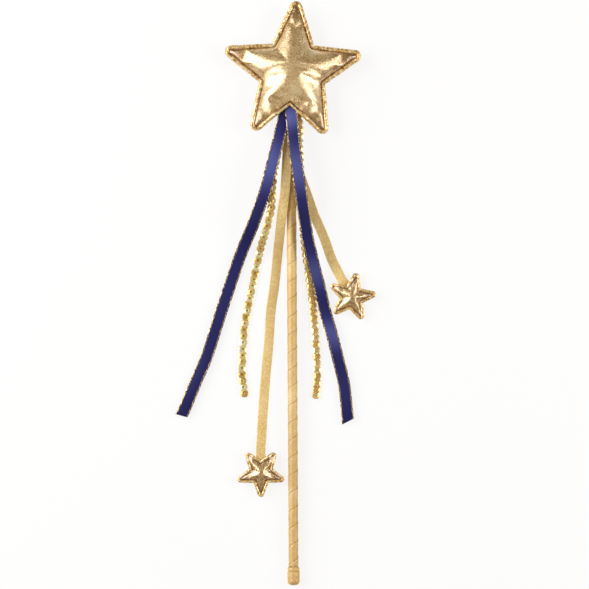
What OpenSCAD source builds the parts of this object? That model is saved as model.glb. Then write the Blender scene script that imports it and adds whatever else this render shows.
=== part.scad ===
// Toy magic wand: a stuffed star on a ribbon-wrapped rod, with streamers.
// It lies on its back on a table: +Z up, +Y from the tip to the star.
// The origin is on the table, under the rod, half way along the wand.

/* [Star head] */
// Radius of the star at its five tips, to the middle of the piping
star_tip_r = 50.4; // [46:0.2:54]
// Radius of the star at its five notches, to the middle of the piping
star_notch_r = 23.2; // [21:0.2:25]
// Rounding of the star's tips
star_round_r = 3; // [2:0.25:4]
// Height of the stuffed front above the seam
star_front_h = 11; // [9:0.25:13]
// Depth of the stuffed back below the seam
star_back_h = 11; // [10:0.25:13]
// Turn of the star on the rod, clockwise from the front
star_turn = 3; // [0:0.5:6]
// Distance of the star's middle from the rod's axis
star_offset = 0.8; // [0:0.1:1.5]
// Outer diameter of the star's piping
star_piping_d = 3.2; // [2.8:0.1:3.6]
// Diameter of the cord inside the star's piping
star_piping_cord_d = 2; // [1.6:0.1:2.2]

/* [Rod] */
// Diameter of the bare rod
rod_d = 6.4; // [5.6:0.1:6.8]
// Length of the wand from its tip to the mouth of the star
rod_free_length = 349.5; // [300:0.5:380]
// Length of the rod inside the star
rod_inset = 26; // [18:1:32]
// Height of the rod's axis above the table at the mouth of the star
rod_mouth_z = 8.8; // [8.5:0.1:9.2]
// Thickness of the wound ribbon
wrap_t = 0.45; // [0.3:0.05:0.5]
// Rise of the wound ribbon in one turn
wrap_pitch = 12.85; // [11:0.05:13]
// Width of the wound ribbon
wrap_w = 12.3; // [10:0.1:12.4]
// Most turns that the wound ribbon has
wrap_most_turns = 24; // [12:1:24]
// Thickness of the tip cover over the rod
tip_wall = 1.3; // [1:0.1:1.6]
// Length of the tip cover
tip_length = 9.8; // [8:0.2:14]
// Rounding of the tip cover's end
tip_round_r = 3; // [2:0.25:3.5]
// Thickness of the band above the tip cover
band_t = 1.1; // [0.8:0.1:1.4]
// Width of the band above the tip cover
band_w = 3.2; // [2:0.1:5]

/* [Streamers] */
// Width of the navy ribbons
navy_w = 9; // [7:0.5:10]
// Width of the gold ribbons
gold_w = 7; // [5:0.5:8]
// Thickness of the ribbons
ribbon_t = 0.4; // [0.3:0.05:0.5]
// Diameter of one sequin
sequin_d = 6; // [5:0.25:6.5]
// Thickness of one sequin
sequin_t = 0.3; // [0.2:0.05:0.3]
// Distance from one sequin to the next
sequin_pitch = 4.7; // [4.5:0.1:6]
// Tilt of each sequin over the next
sequin_tilt = 10; // [9:0.5:12]
// Diameter of the thread through the sequins
thread_d = 0.6; // [0.4:0.05:0.8]
// Diameter of the thread tacks that hold the streamers
tack_d = 1.2; // [0.8:0.1:1.6]

/* [Charms] */
// Radius of a charm at its tips, to the middle of the piping
charm_tip_r = 16.8; // [15.5:0.1:18]
// Radius of a charm at its notches, to the middle of the piping
charm_notch_r = 8; // [7.4:0.1:8.6]
// Rounding of a charm's tips
charm_round_r = 1.4; // [1:0.1:2]
// Height of a charm's stuffed front and back from the seam
charm_h = 4.2; // [3.6:0.1:5]
// Outer diameter of a charm's piping
charm_piping_d = 2.2; // [1.8:0.1:2.4]

/* [Fits] */
// Thickness of the gold leatherette
skin_t = 0.7; // [0.5:0.05:0.8]
// Half of the seam between a front and a back panel
seam_gap = 0.2; // [0.1:0.05:0.3]
// Space between soft pieces that lie on each other
lay_gap = 0.3; // [0.25:0.05:0.4]
// Space around the rod and the thread tacks
fit_gap = 0.06; // [0.04:0.01:0.1]
// Depth of the flat that a stuffed star rests on
rest_flat = 0.5; // [0.3:0.1:0.8]

/* [Hidden] */
$fn = 48;

// Colours
gold_foil = "#d1a860";
gold_satin = "#dcb878";
navy_satin = "#2a2a5c";
white_fill = "#f2efe6";
rod_wood = "#d8bc8c";
amber_glue = "#d9c48a";

// Streamer routes seen from above, from the mouth of the star to the free end
mouth = [-1, 137];
navy_left_route = [
    mouth, [-5, 128], [-9.5, 110], [-14, 93], [-18.5, 76], [-25, 58], [-28.5, 49], [-32.5, 40], [-36, 32],
    [-39.5, 23], [-45.5, 5.5], [-51.5, -12], [-57, -29], [-63, -47], [-70.5, -64], [-78, -82], [-81.5, -89]
];
navy_right_route = [
    mouth, [0.5, 129], [2, 111], [4, 94], [6.5, 76], [9, 58], [11.5, 41], [13.5, 32], [15.5, 23],
    [17.5, 15], [20, 6], [24, -12], [29, -30], [33.5, -48], [37.5, -65], [39.5, -82], [40.5, -94]
];
gold_left_route = [
    mouth, [-2, 123], [-3, 100], [-4, 84], [-5, 71], [-7, 58], [-8, 49], [-9, 40], [-10, 32], [-11, 23],
    [-13, 5], [-15.5, -12], [-17.5, -38], [-20, -64], [-22, -90], [-23, -106], [-23.5, -114], [-23.5, -123]
];
gold_right_route = [
    mouth, [-0.5, 123], [0.5, 112], [3, 99], [6.5, 86], [11.5, 72], [16.5, 58], [22, 45], [25.5, 36],
    [28.5, 27], [32.5, 18], [36.5, 10], [40.5, 4.5]
];
sequins_left_route = [
    mouth, [-5, 125], [-8, 110], [-11, 97], [-13, 84], [-14, 75], [-14.5, 63], [-16.5, 54], [-19, 45],
    [-22, 36], [-24, 28], [-26, 19], [-28, 10], [-32, -8], [-35, -25], [-36.5, -47], [-37, -60], [-35, -75]
];
sequins_right_route = [
    mouth, [5, 129], [6, 119], [6, 108], [6.5, 94], [7, 76], [8, 58], [9, 42], [10, 32], [11.5, 20],
    [13.5, 5], [15.5, -12], [17, -32], [18, -52], [18, -65], [17, -76]
];
// Turns of the charms, from a mouth that points to the tip of the wand
charm_left_turn = 180;
charm_right_turn = 204.5;
// Distances from the mouth between which each streamer comes down to the table
left_fall = [80, 118];
navy_right_fall = [100, 135];
gold_right_fall = [50, 88];
sequins_right_fall = [62, 100];
// Length over which a gold ribbon rises to the seam of its charm
charm_rise = 18;
// Distance from the mouth to the first sequin of each strand
first_sequin = 10;

// Wand axis: the tip cover and the back of the star both rest on the table
mouth_y = mouth.y - star_piping_d / 4;
tip_y = mouth_y - rod_free_length;
tip_d = rod_d + 2 * tip_wall;
rod_tilt = atan((rod_mouth_z - tip_d / 2) / (rod_free_length - tip_round_r));
tip_z = tip_d / 2 / cos(rod_tilt) - tip_round_r * sin(rod_tilt);
wrap_start = tip_length + band_w + 2 * lay_gap;
wrap_turns = min(wrap_most_turns, floor((rod_free_length - wrap_start - wrap_w) / wrap_pitch));
// Glue under the rod, from just inside the mouth
glue_start = 8;
glue_length = 6.5;
glue_t = 0.4;
glue_r = rod_d / 2 + glue_t;

// Streamer layers, one over the other, at the mouth and on the table
sequin_h = sequin_d * sin(sequin_tilt) + sequin_t;
gold_left_z = rod_mouth_z + rod_d / 2 + wrap_t + fit_gap + lay_gap;
gold_right_z = gold_left_z + ribbon_t + lay_gap;
sequins_z = gold_right_z + ribbon_t + lay_gap;
thread_right_lift = thread_d + lay_gap / 2;
strand_h = max(sequin_h, thread_right_lift + thread_d);
navy_left_z = sequins_z + strand_h + 2 * lay_gap;
navy_right_z = navy_left_z + ribbon_t + lay_gap;
layers_top = navy_right_z + ribbon_t + lay_gap;
gold_floor_z = 0.1;
sequins_floor_z = gold_floor_z + ribbon_t + 2 * lay_gap;
navy_floor_z = sequins_floor_z + sequin_h + 2 * lay_gap;

// Stuffed star: the mouth's lift at the front and drop at the back
star_seam_z = star_back_h + skin_t + seam_gap - rest_flat;
star_lift = layers_top + star_piping_d / 2 - star_seam_z;
star_drop = star_seam_z - seam_gap + lay_gap - (rod_mouth_z - rod_d / 2);
star_spread = [13, 28];
star_middle = [star_offset, mouth.y + star_notch_r + star_piping_d / 4];
star_mouth_r = norm([glue_r - mouth.x, glue_start + glue_length]) + lay_gap;
charm_seam_z = charm_h + skin_t + seam_gap - rest_flat;
charm_lift = ribbon_t / 2 + lay_gap + charm_piping_d / 2;
charm_drop = ribbon_t / 2 + lay_gap - seam_gap;
charm_spread = [5.5, 10.5];
charm_mouth_r = gold_w / 2 + lay_gap;

// Rings of a stuffed panel, as shares of the way from the middle to the edge
star_rings = [1, 0.94, 0.84, 0.68, 0.46, 0.22];
charm_rings = [1, 0.86, 0.6, 0.3];
// Fullness of a stuffed crown: lower is fuller
crown_power = 0.6;
// Sharpness with which the crown follows the nearest edge
edge_power = 4;
star_steps = 4;
charm_steps = 2;
lobe_turn = 72;
wrap_steps = 16;
piping_sides = 8;
// Steps round the piping's cover, which is open towards the star, and half of its opening
cover_steps = 6;
cover_slit = 25;

function ease(t) = t <= 0 ? 0 : t >= 1 ? 1 : t * t * (3 - 2 * t);
function turned(p, a) = [p.x * cos(a) - p.y * sin(a), p.x * sin(a) + p.y * cos(a)];
function polar(r, a) = [r * cos(a), r * sin(a)];
function total(list) = list * [for (i = list) 1];

// Outline of a star with one tip up, its tips rounded, set in by a distance
function half_tip(tip_r, notch_r) = atan2(notch_r * sin(36), tip_r - notch_r * cos(36));
function star_lobe(tip_r, notch_r, round_r, steps, a) =
    let (
        spread = 90 - half_tip(tip_r, notch_r),
        arc = [for (i = [0 : steps])
            polar(tip_r - round_r, a) + polar(round_r, a + spread * (2 * i / steps - 1))],
        notch = polar(notch_r, a + lobe_turn / 2),
        after = polar(tip_r - round_r, a + lobe_turn) + polar(round_r, a + lobe_turn - spread)
    )
    concat(
        arc,
        [for (i = [1 : steps]) arc[steps] + (notch - arc[steps]) * i / steps],
        [for (i = [1 : steps - 1]) notch + (after - notch) * i / steps]
    );
function inset_notch(tip_r, notch_r, edge) = notch_r - edge / sin(lobe_turn / 2 + half_tip(tip_r, notch_r));
function star_outline(tip_r, notch_r, round_r, steps) =
    [for (k = [0 : 4]) each star_lobe(tip_r, notch_r, round_r, steps, 90 + lobe_turn * k)];

// Smooth distance from a point to the ten edges of a star
function to_edge(p, a, b) =
    let (t = max(0, min(1, (p - a) * (b - a) / ((b - a) * (b - a)))))
    max(0.01, norm(p - a - (b - a) * t));
function corner(tip_r, notch_r, k) = polar(k % 2 == 0 ? tip_r : notch_r, 90 + 36 * k);
function inside_depth(p, tip_r, notch_r) =
    pow(total([for (k = [0 : 9])
        pow(to_edge(p, corner(tip_r, notch_r, k), corner(tip_r, notch_r, k + 1)), -edge_power)]),
        -1 / edge_power);
function crown(p, tip_r, notch_r, share) =
    share == 1 ? 0 :
    pow(min(1, inside_depth(p, tip_r, notch_r) / inside_depth([0, 0], tip_r, notch_r)), crown_power);
// How far the seam opens around the notch where the rod or a ribbon goes in
function opening(p, mouth_p, spread) = 1 - ease((norm(p - mouth_p) - spread[0]) / (spread[1] - spread[0]));
function swell(h, open) = pow(pow(h, 3) + pow(open, 3), 1 / 3);

// Heights of the front or the back surface over a star's grid of rings, the middle point last
function star_grid(tip_r, notch_r, round_r, steps, rings) =
    let (outline = star_outline(tip_r, notch_r, round_r, steps))
    concat(
        [for (share = rings) for (p = outline) [p.x * share, p.y * share, share]],
        [[0, 0, 0]]
    );
function front_z(g, tip_r, notch_r, mouth_p, spread, h, lift) =
    swell(h * crown([g.x, g.y], tip_r, notch_r, g.z), lift * opening([g.x, g.y], mouth_p, spread));

// One skin between two surfaces over the same grid
function cap_faces(n, rings, start, flip) =
    let (
        last = start + n * rings,
        bands = [for (r = [0 : rings - 2]) for (i = [0 : n - 1])
            let (a = start + r * n + i, b = start + r * n + (i + 1) % n) each [[a, b, b + n], [a, b + n, a + n]]],
        fan = [for (i = [0 : n - 1])
            [start + n * (rings - 1) + i, start + n * (rings - 1) + (i + 1) % n, last]]
    )
    [for (f = concat(bands, fan)) flip ? [f[2], f[1], f[0]] : f];
function rim_faces(n, low) = [for (i = [0 : n - 1])
    let (j = (i + 1) % n) each [[i, low + j, j], [i, low + i, low + j]]];
module skin(grid, top, bottom, n, rings) {
    low = len(grid);
    points = concat(
        [for (i = [0 : low - 1]) [grid[i].x, grid[i].y, top[i]]],
        [for (i = [0 : low - 1]) [grid[i].x, grid[i].y, bottom[i]]]
    );
    polyhedron(
        points,
        [for (f = concat(cap_faces(n, rings, 0, false), cap_faces(n, rings, low, true), rim_faces(n, low)))
            [f[2], f[1], f[0]]]
    );
}

// A stuffed star lying on its back: panels, filling and piping, mouth at its lowest notch
module stuffed_front(tip_r, notch_r, round_r, steps, edge, rings, h, seam, lift, spread) {
    mouth_p = [0, -notch_r];
    tip_in = tip_r - edge;
    notch_in = inset_notch(tip_r, notch_r, edge);
    grid = star_grid(tip_in, notch_in, max(round_r - edge, least_round_r), steps, rings);
    top = [for (g = grid) seam + seam_gap + skin_t
        + front_z(g, tip_in, notch_in, mouth_p, spread, h, lift)];
    skin(grid, top, [for (z = top) z - skin_t], (len(grid) - 1) / len(rings), len(rings));
}
module stuffed_back(tip_r, notch_r, round_r, steps, edge, rings, h, seam, drop, spread) {
    mouth_p = [0, -notch_r];
    tip_in = tip_r - edge;
    notch_in = inset_notch(tip_r, notch_r, edge);
    grid = star_grid(tip_in, notch_in, max(round_r - edge, least_round_r), steps, rings);
    low = [for (g = grid) max(0, seam - seam_gap - skin_t
        - front_z(g, tip_in, notch_in, mouth_p, spread, h, drop))];
    skin(grid, [for (z = low) z + skin_t], low, (len(grid) - 1) / len(rings), len(rings));
}
module filling(tip_r, notch_r, round_r, steps, edge, rings, front_h, back_h, seam, lift, drop, spread) {
    mouth_p = [0, -notch_r];
    inner = [for (i = [1 : len(rings) - 1]) rings[i]];
    tip_in = tip_r - edge;
    notch_in = inset_notch(tip_r, notch_r, edge);
    grid = star_grid(tip_in, notch_in, max(round_r - edge, least_round_r), steps, inner);
    top = [for (g = grid) seam + seam_gap - lay_gap
        + front_z(g, tip_in, notch_in, mouth_p, spread, front_h, lift)];
    low = [for (g = grid) max(0, seam - seam_gap - skin_t
        - front_z(g, tip_in, notch_in, mouth_p, spread, back_h, drop)) + skin_t + lay_gap];
    skin(grid, top, low, (len(grid) - 1) / len(inner), len(inner));
}

// A section swept along a closed outline, lifted over the mouth
round_section = [for (k = [0 : piping_sides - 1]) polar(1, 360 * (k + 0.5) / piping_sides)];
cover_angles = [for (k = [0 : cover_steps]) (180 - cover_slit) * (2 * k / cover_steps - 1)];
cover_half_step = (180 - cover_slit) / cover_steps;
function cover_section(outer_r, bore_r) = concat(
    [for (a = cover_angles) polar(outer_r, a)],
    [for (k = [cover_steps : -1 : 0]) polar(bore_r, cover_angles[k])]
);
function loop_ring(outline, i, lift, spread, seam, mouth_p, section) =
    let (
        n = len(outline),
        p = outline[i],
        way = outline[(i + 1) % n] - outline[(i + n - 1) % n],
        out = [way.y, -way.x] / norm(way),
        z = seam + lift * opening(p, mouth_p, spread)
    )
    [for (q = section) [p.x + out.x * q.x, p.y + out.y * q.x, z + q.y]];
function loop_faces(n, sides) = [for (i = [0 : n - 1]) for (k = [0 : sides - 1])
    let (
        a = i * sides + k,
        b = i * sides + (k + 1) % sides,
        c = ((i + 1) % n) * sides + k,
        d = ((i + 1) % n) * sides + (k + 1) % sides
    )
    each [[a, b, d], [a, d, c]]];
module piping_loop(tip_r, notch_r, round_r, steps, lift, spread, seam, section) {
    outline = star_outline(tip_r, notch_r, round_r, steps);
    points = [for (i = [0 : len(outline) - 1])
        each loop_ring(outline, i, lift, spread, seam, [0, -notch_r], section)];
    polyhedron(points, loop_faces(len(outline), len(section)));
}

// Heights along a streamer: high at the mouth, then down to the table
function lay_z(p, high, low, fall) =
    high + (low - high) * ease((norm(p - mouth) - fall[0]) / (fall[1] - fall[0]));
// A route with one more point in each stretch, on a smooth curve
function smooth(route) =
    let (n = len(route) - 1)
    [for (i = [0 : n]) each i == n ? [route[n]] :
        [route[i], (9 * (route[i] + route[i + 1]) - route[max(i - 1, 0)] - route[min(i + 2, n)]) / 16]];
function laid(route, high, low, fall) = [for (p = smooth(route)) [p.x, p.y, lay_z(p, high, low, fall)]];
function laid_to_charm(route, high, low, fall) =
    let (end = route[len(route) - 1], seam = charm_seam_z - ribbon_t / 2)
    [for (p = smooth(route))
        let (z = lay_z(p, high, low, fall), rise = 1 - (norm(p - end) - charm_mouth_r) / charm_rise)
        [p.x, p.y, z + (seam - z) * ease(rise)]];

// A flat band along a route
function flat_side(path, i) =
    let (
        n = len(path),
        way = path[min(i + 1, n - 1)] - path[max(i - 1, 0)]
    )
    [-way.y, way.x, 0] / norm([way.x, way.y]);
function band_ring(path, i, w, t) =
    let (side = flat_side(path, i) * w / 2, up = [0, 0, t])
    [path[i] - side, path[i] + side, path[i] + side + up, path[i] - side + up];
function tube_faces(rings, sides) = concat(
    [[for (k = [sides - 1 : -1 : 0]) k]],
    [for (i = [0 : rings - 2]) for (k = [0 : sides - 1])
        let (a = i * sides + k, b = i * sides + (k + 1) % sides) each [[a, b, b + sides], [a, b + sides, a + sides]]],
    [[for (k = [0 : sides - 1]) (rings - 1) * sides + k]]
);
module band(path, w, t) {
    points = [for (i = [0 : len(path) - 1]) each band_ring(path, i, w, t)];
    faces = tube_faces(len(path), 4);
    polyhedron(points, [for (f = faces) [for (k = [len(f) - 1 : -1 : 0]) f[k]]]);
}
// A ribbon with a round end at its tack, and another at a charm's tack
module eyelet_end(p, w) {
    translate([p.x, p.y, p.z + eyelet_step]) cylinder(d = w - 2 * eyelet_step, h = ribbon_t - 2 * eyelet_step);
}
module eyelet_hole(p) {
    translate([p.x, p.y, p.z - ribbon_t]) cylinder(d = tack_d + 2 * fit_gap, h = 3 * ribbon_t);
}
module streamer(path, w, far_eyelet) {
    last = path[len(path) - 1];
    difference() {
        union() {
            band(path, w, ribbon_t);
            eyelet_end(path[0], w);
            if (far_eyelet) eyelet_end(last, w);
        }
        eyelet_hole(path[0]);
        if (far_eyelet) eyelet_hole(last);
    }
}

// Places along a route at even steps
function lengths(path, i = 1, sum = 0, list = [0]) =
    i >= len(path) ? list :
    let (next = sum + norm(path[i] - path[i - 1])) lengths(path, i + 1, next, concat(list, [next]));
function stretch(sums, s, i = 1) = i >= len(sums) - 1 || sums[i] >= s ? i : stretch(sums, s, i + 1);
function place_at(path, sums, s) =
    let (i = stretch(sums, s), t = (s - sums[i - 1]) / (sums[i] - sums[i - 1]))
    path[i - 1] + (path[i] - path[i - 1]) * t;
module sequin_row(path) {
    sums = lengths(path);
    span = sums[len(sums) - 1] - sequin_d / 2;
    for (s = [first_sequin : sequin_pitch : span]) {
        way = place_at(path, sums, s + sequin_d / 4) - place_at(path, sums, s - sequin_d / 4);
        heading = atan2(way.y, way.x);
        slope = asin(way.z / norm(way));
        translate(place_at(path, sums, s) + [0, 0, sequin_h / 2])
            rotate([0, 0, heading])
            rotate([0, -slope - sequin_tilt, 0])
            cylinder(d = sequin_d, h = sequin_t, center = true);
    }
}
module sequin_thread(path, tack_lift) {
    lifted = [for (p = path)
        let (from_tack = norm([p.x, p.y] - mouth) / first_sequin)
        p + [0, 0, tack_lift + (sequin_h / 2 - thread_d / 2 - tack_lift) * ease(from_tack)]];
    difference() {
        union() {
            band(lifted, thread_d, thread_d);
            translate(lifted[0]) cylinder(d = tack_d + 4 * thread_d, h = thread_d);
        }
        translate(lifted[0] - [0, 0, thread_d]) cylinder(d = tack_d + 2 * fit_gap, h = 3 * thread_d);
    }
}

// The wound ribbon: one flat strip that climbs the rod, seams rising to the right
wrap_in_r = rod_d / 2 + fit_gap;
wrap_out_r = wrap_in_r + wrap_t;
wrap_rings = wrap_turns * wrap_steps;
function wrap_ring(i) =
    let (
        a = 360 * i / wrap_steps,
        y = wrap_start + wrap_w / 2 + (wrap_pitch * i / wrap_steps),
        out = [sin(a), 0, cos(a)]
    )
    [
        out * wrap_in_r + [0, y - wrap_w / 2, 0],
        out * wrap_out_r + [0, y - wrap_w / 2, 0],
        out * wrap_out_r + [0, y + wrap_w / 2, 0],
        out * wrap_in_r + [0, y + wrap_w / 2, 0]
    ];
wrap_points = [for (i = [0 : wrap_rings - 1]) wrap_ring(i)];
wrap_gap = min([for (i = [0 : wrap_rings - wrap_steps - 1]) for (j = [-1 : 1]) for (a = [2, 3]) for (b = [0, 1])
    i + wrap_steps + j < wrap_rings ? norm(wrap_points[i + wrap_steps + j][b] - wrap_points[i][a]) : wrap_pitch]);
echo(least_gap_between_wrap_turns = wrap_gap);

// Places the pieces of the rod, which point along +Y from the tip
module on_rod() {
    translate([0, tip_y, tip_z]) rotate([rod_tilt, 0, 0]) children();
}
module along_rod(from, r, length) {
    translate([0, from, 0]) rotate([-90, 0, 0]) cylinder(r = r, h = length);
}
module on_star() {
    translate([star_middle.x, star_middle.y, 0]) rotate([0, 0, -star_turn]) children();
}
module on_charm(route, turn) {
    end = route[len(route) - 1];
    in = turned([0, -charm_notch_r], turn);
    translate([end.x - in.x, end.y - in.y, 0]) rotate([0, 0, turn]) children();
}

star_edge = star_piping_d / 2 + seam_gap;
charm_edge = charm_piping_d / 2 + seam_gap;
least_round_r = 0.2;
// Step from a ribbon's face down to its round end
eyelet_step = 0.05;

module star_front_panel() {
    color(gold_foil) on_star()
        stuffed_front(star_tip_r, star_notch_r, star_round_r, star_steps, star_edge, star_rings,
            star_front_h, star_seam_z, star_lift, star_spread);
}
module star_back_panel() {
    color(gold_foil) on_star()
        stuffed_back(star_tip_r, star_notch_r, star_round_r, star_steps, star_edge, star_rings,
            star_back_h, star_seam_z, star_drop, star_spread);
}
module star_stuffing() {
    color(white_fill) difference() {
        on_star()
            filling(star_tip_r, star_notch_r, star_round_r, star_steps, star_edge, star_rings,
                star_front_h, star_back_h, star_seam_z, star_lift, star_drop, star_spread);
        translate([mouth.x, mouth.y, 0]) cylinder(r = star_mouth_r, h = 4 * star_front_h);
        on_rod() along_rod(rod_free_length, rod_d / 2 + fit_gap, rod_inset + lay_gap);
    }
}
module star_piping_cover() {
    color(gold_foil) on_star()
        piping_loop(star_tip_r, star_notch_r, star_round_r, star_steps, star_lift, star_spread, star_seam_z,
            cover_section(star_piping_d / 2, star_piping_cord_d / 2 / cos(cover_half_step) + fit_gap));
}
module star_piping_cord() {
    color(white_fill) on_star()
        piping_loop(star_tip_r, star_notch_r, star_round_r, star_steps, star_lift, star_spread, star_seam_z,
            star_piping_cord_d / 2 * round_section);
}
module wand_rod() {
    color(rod_wood) on_rod() along_rod(tip_round_r, rod_d / 2, rod_free_length + rod_inset - tip_round_r);
}
module rod_glue() {
    color(amber_glue) difference() {
        on_rod() along_rod(rod_free_length + glue_start, glue_r, glue_length);
        on_rod() along_rod(rod_free_length, rod_d / 2 + fit_gap, 2 * (glue_start + glue_length));
        translate([-rod_d, mouth_y, rod_mouth_z]) cube([2 * rod_d, 4 * glue_length, 2 * rod_d]);
    }
}
module rod_wrap() {
    faces = tube_faces(wrap_rings, 4);
    color(gold_satin) on_rod()
        polyhedron([for (ring = wrap_points) each ring], faces);
}
module tip_cover() {
    bore_r = rod_d / 2 + fit_gap;
    color(gold_satin) on_rod() rotate([-90, 0, 0]) difference() {
        rotate_extrude() {
            translate([0, tip_round_r]) square([tip_d / 2, tip_length - tip_round_r]);
            square([tip_d / 2 - tip_round_r, tip_round_r]);
            translate([tip_d / 2 - tip_round_r, tip_round_r]) intersection() {
                circle(r = tip_round_r);
                translate([0, -tip_round_r]) square(tip_round_r);
            }
        }
        translate([0, 0, tip_round_r - fit_gap]) cylinder(r = bore_r, h = tip_length);
    }
}
module tip_band() {
    bore_r = rod_d / 2 + fit_gap;
    color(gold_satin) on_rod() difference() {
        along_rod(tip_length + lay_gap, rod_d / 2 + band_t, band_w);
        along_rod(tip_length, bore_r, band_w + 2 * lay_gap);
    }
}
module ribbon_tack() {
    foot = rod_mouth_z + rod_d / 2 + fit_gap;
    color(gold_satin) translate([mouth.x, mouth.y, foot]) cylinder(d = tack_d, h = layers_top - foot - fit_gap);
}
module navy_ribbon_left() {
    color(navy_satin) streamer(laid(navy_left_route, navy_left_z, navy_floor_z, left_fall), navy_w, false);
}
module navy_ribbon_right() {
    color(navy_satin) streamer(laid(navy_right_route, navy_right_z, navy_floor_z, navy_right_fall), navy_w, false);
}
module gold_ribbon_left() {
    color(gold_satin) streamer(laid_to_charm(gold_left_route, gold_left_z, gold_floor_z, left_fall), gold_w, true);
}
module gold_ribbon_right() {
    color(gold_satin)
        streamer(laid_to_charm(gold_right_route, gold_right_z, gold_floor_z, gold_right_fall), gold_w, true);
}
sequins_left_path = laid(sequins_left_route, sequins_z, sequins_floor_z, left_fall);
sequins_right_path = laid(sequins_right_route, sequins_z, sequins_floor_z, sequins_right_fall);
module sequins_left() {
    color(gold_foil) sequin_row(sequins_left_path);
}
module sequin_thread_left() {
    color(gold_satin) sequin_thread(sequins_left_path, 0);
}
module sequins_right() {
    color(gold_foil) sequin_row(sequins_right_path);
}
module sequin_thread_right() {
    color(gold_satin) sequin_thread(sequins_right_path, thread_right_lift);
}

module charm_front(route, turn) {
    color(gold_foil) on_charm(route, turn)
        stuffed_front(charm_tip_r, charm_notch_r, charm_round_r, charm_steps, charm_edge, charm_rings,
            charm_h, charm_seam_z, charm_lift, charm_spread);
}
module charm_back(route, turn) {
    color(gold_foil) on_charm(route, turn)
        stuffed_back(charm_tip_r, charm_notch_r, charm_round_r, charm_steps, charm_edge, charm_rings,
            charm_h, charm_seam_z, charm_drop, charm_spread);
}
module charm_stuffing(route, turn) {
    end = route[len(route) - 1];
    color(white_fill) difference() {
        on_charm(route, turn)
            filling(charm_tip_r, charm_notch_r, charm_round_r, charm_steps, charm_edge, charm_rings,
                charm_h, charm_h, charm_seam_z, charm_lift, charm_drop, charm_spread);
        translate([end.x, end.y, 0]) cylinder(r = charm_mouth_r, h = 4 * charm_h);
    }
}
module charm_piping(route, turn) {
    color(gold_foil) on_charm(route, turn)
        piping_loop(charm_tip_r, charm_notch_r, charm_round_r, charm_steps, charm_lift, charm_spread,
            charm_seam_z, charm_piping_d / 2 * round_section);
}
module charm_tack(route) {
    end = route[len(route) - 1];
    half = ribbon_t / 2 + lay_gap - fit_gap;
    color(gold_satin) translate([end.x, end.y, charm_seam_z - half]) cylinder(d = tack_d, h = 2 * half);
}
module charm_left_front() { charm_front(gold_left_route, charm_left_turn); }
module charm_left_back() { charm_back(gold_left_route, charm_left_turn); }
module charm_left_stuffing() { charm_stuffing(gold_left_route, charm_left_turn); }
module charm_left_piping() { charm_piping(gold_left_route, charm_left_turn); }
module charm_left_tack() { charm_tack(gold_left_route); }
module charm_right_front() { charm_front(gold_right_route, charm_right_turn); }
module charm_right_back() { charm_back(gold_right_route, charm_right_turn); }
module charm_right_stuffing() { charm_stuffing(gold_right_route, charm_right_turn); }
module charm_right_piping() { charm_piping(gold_right_route, charm_right_turn); }
module charm_right_tack() { charm_tack(gold_right_route); }

star_front_panel();
star_back_panel();
star_stuffing();
star_piping_cover();
star_piping_cord();
wand_rod();
rod_glue();
rod_wrap();
tip_cover();
tip_band();
ribbon_tack();
navy_ribbon_left();
navy_ribbon_right();
gold_ribbon_left();
gold_ribbon_right();
sequins_left();
sequin_thread_left();
sequins_right();
sequin_thread_right();
charm_left_front();
charm_left_back();
charm_left_stuffing();
charm_left_piping();
charm_left_tack();
charm_right_front();
charm_right_back();
charm_right_stuffing();
charm_right_piping();
charm_right_tack();
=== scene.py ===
# %% [markdown]
# # A toy magic wand
# The wand lies on its back on a table, and the photograph looks straight down on it: a stuffed
# gold star on a ribbon-wrapped rod, with six streamers that come out of the star's lowest notch.
# The CAD model holds the sizes and the joints. This lesson dresses it, piece by piece, in cloth,
# ribbon, foil and thread. Everything shares one frame: X to the right, Y from the tip to the
# star, Z up, with the table at zero.

# %% Load the frame
import math
import random

import bpy
import numpy as np
from mathutils import Matrix, Vector
from mathutils import noise as field


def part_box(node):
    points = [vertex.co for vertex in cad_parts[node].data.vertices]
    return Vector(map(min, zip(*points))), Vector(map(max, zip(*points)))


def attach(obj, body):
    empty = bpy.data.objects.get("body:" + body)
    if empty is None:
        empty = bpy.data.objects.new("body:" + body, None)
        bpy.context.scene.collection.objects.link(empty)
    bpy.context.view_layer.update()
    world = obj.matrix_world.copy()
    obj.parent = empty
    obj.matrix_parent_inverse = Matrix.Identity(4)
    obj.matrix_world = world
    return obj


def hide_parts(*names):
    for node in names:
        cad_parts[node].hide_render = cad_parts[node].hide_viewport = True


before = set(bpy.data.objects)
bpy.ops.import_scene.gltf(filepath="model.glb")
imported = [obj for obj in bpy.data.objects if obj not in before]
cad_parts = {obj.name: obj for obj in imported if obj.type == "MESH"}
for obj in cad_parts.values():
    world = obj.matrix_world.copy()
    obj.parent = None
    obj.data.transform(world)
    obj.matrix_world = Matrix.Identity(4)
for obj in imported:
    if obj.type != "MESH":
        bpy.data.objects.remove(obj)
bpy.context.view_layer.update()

# %% [markdown]
# Lengths are written in millimetres, as a maker would write them, and become metres only where
# a mesh is made. One helper makes every mesh, so that all of them are shaded smooth and land in
# the scene's collection.

# %% Mesh helper
MM = 0.001
scene = bpy.context.scene


def make_mesh(name, points, faces):
    mesh = bpy.data.meshes.new(name)
    mesh.from_pydata([[x * MM for x in p] for p in points], [], [list(f) for f in faces])
    mesh.validate()
    mesh.shade_smooth()
    piece = bpy.data.objects.new(name, mesh)
    scene.collection.objects.link(piece)
    return piece


def paint_values(piece, **layers):
    """One number per vertex in each named layer, for a material to read."""
    for name, values in layers.items():
        layer = piece.data.attributes.new(name, "FLOAT", "POINT")
        layer.data.foreach_set("value", np.asarray(values, dtype=np.float32))


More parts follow.
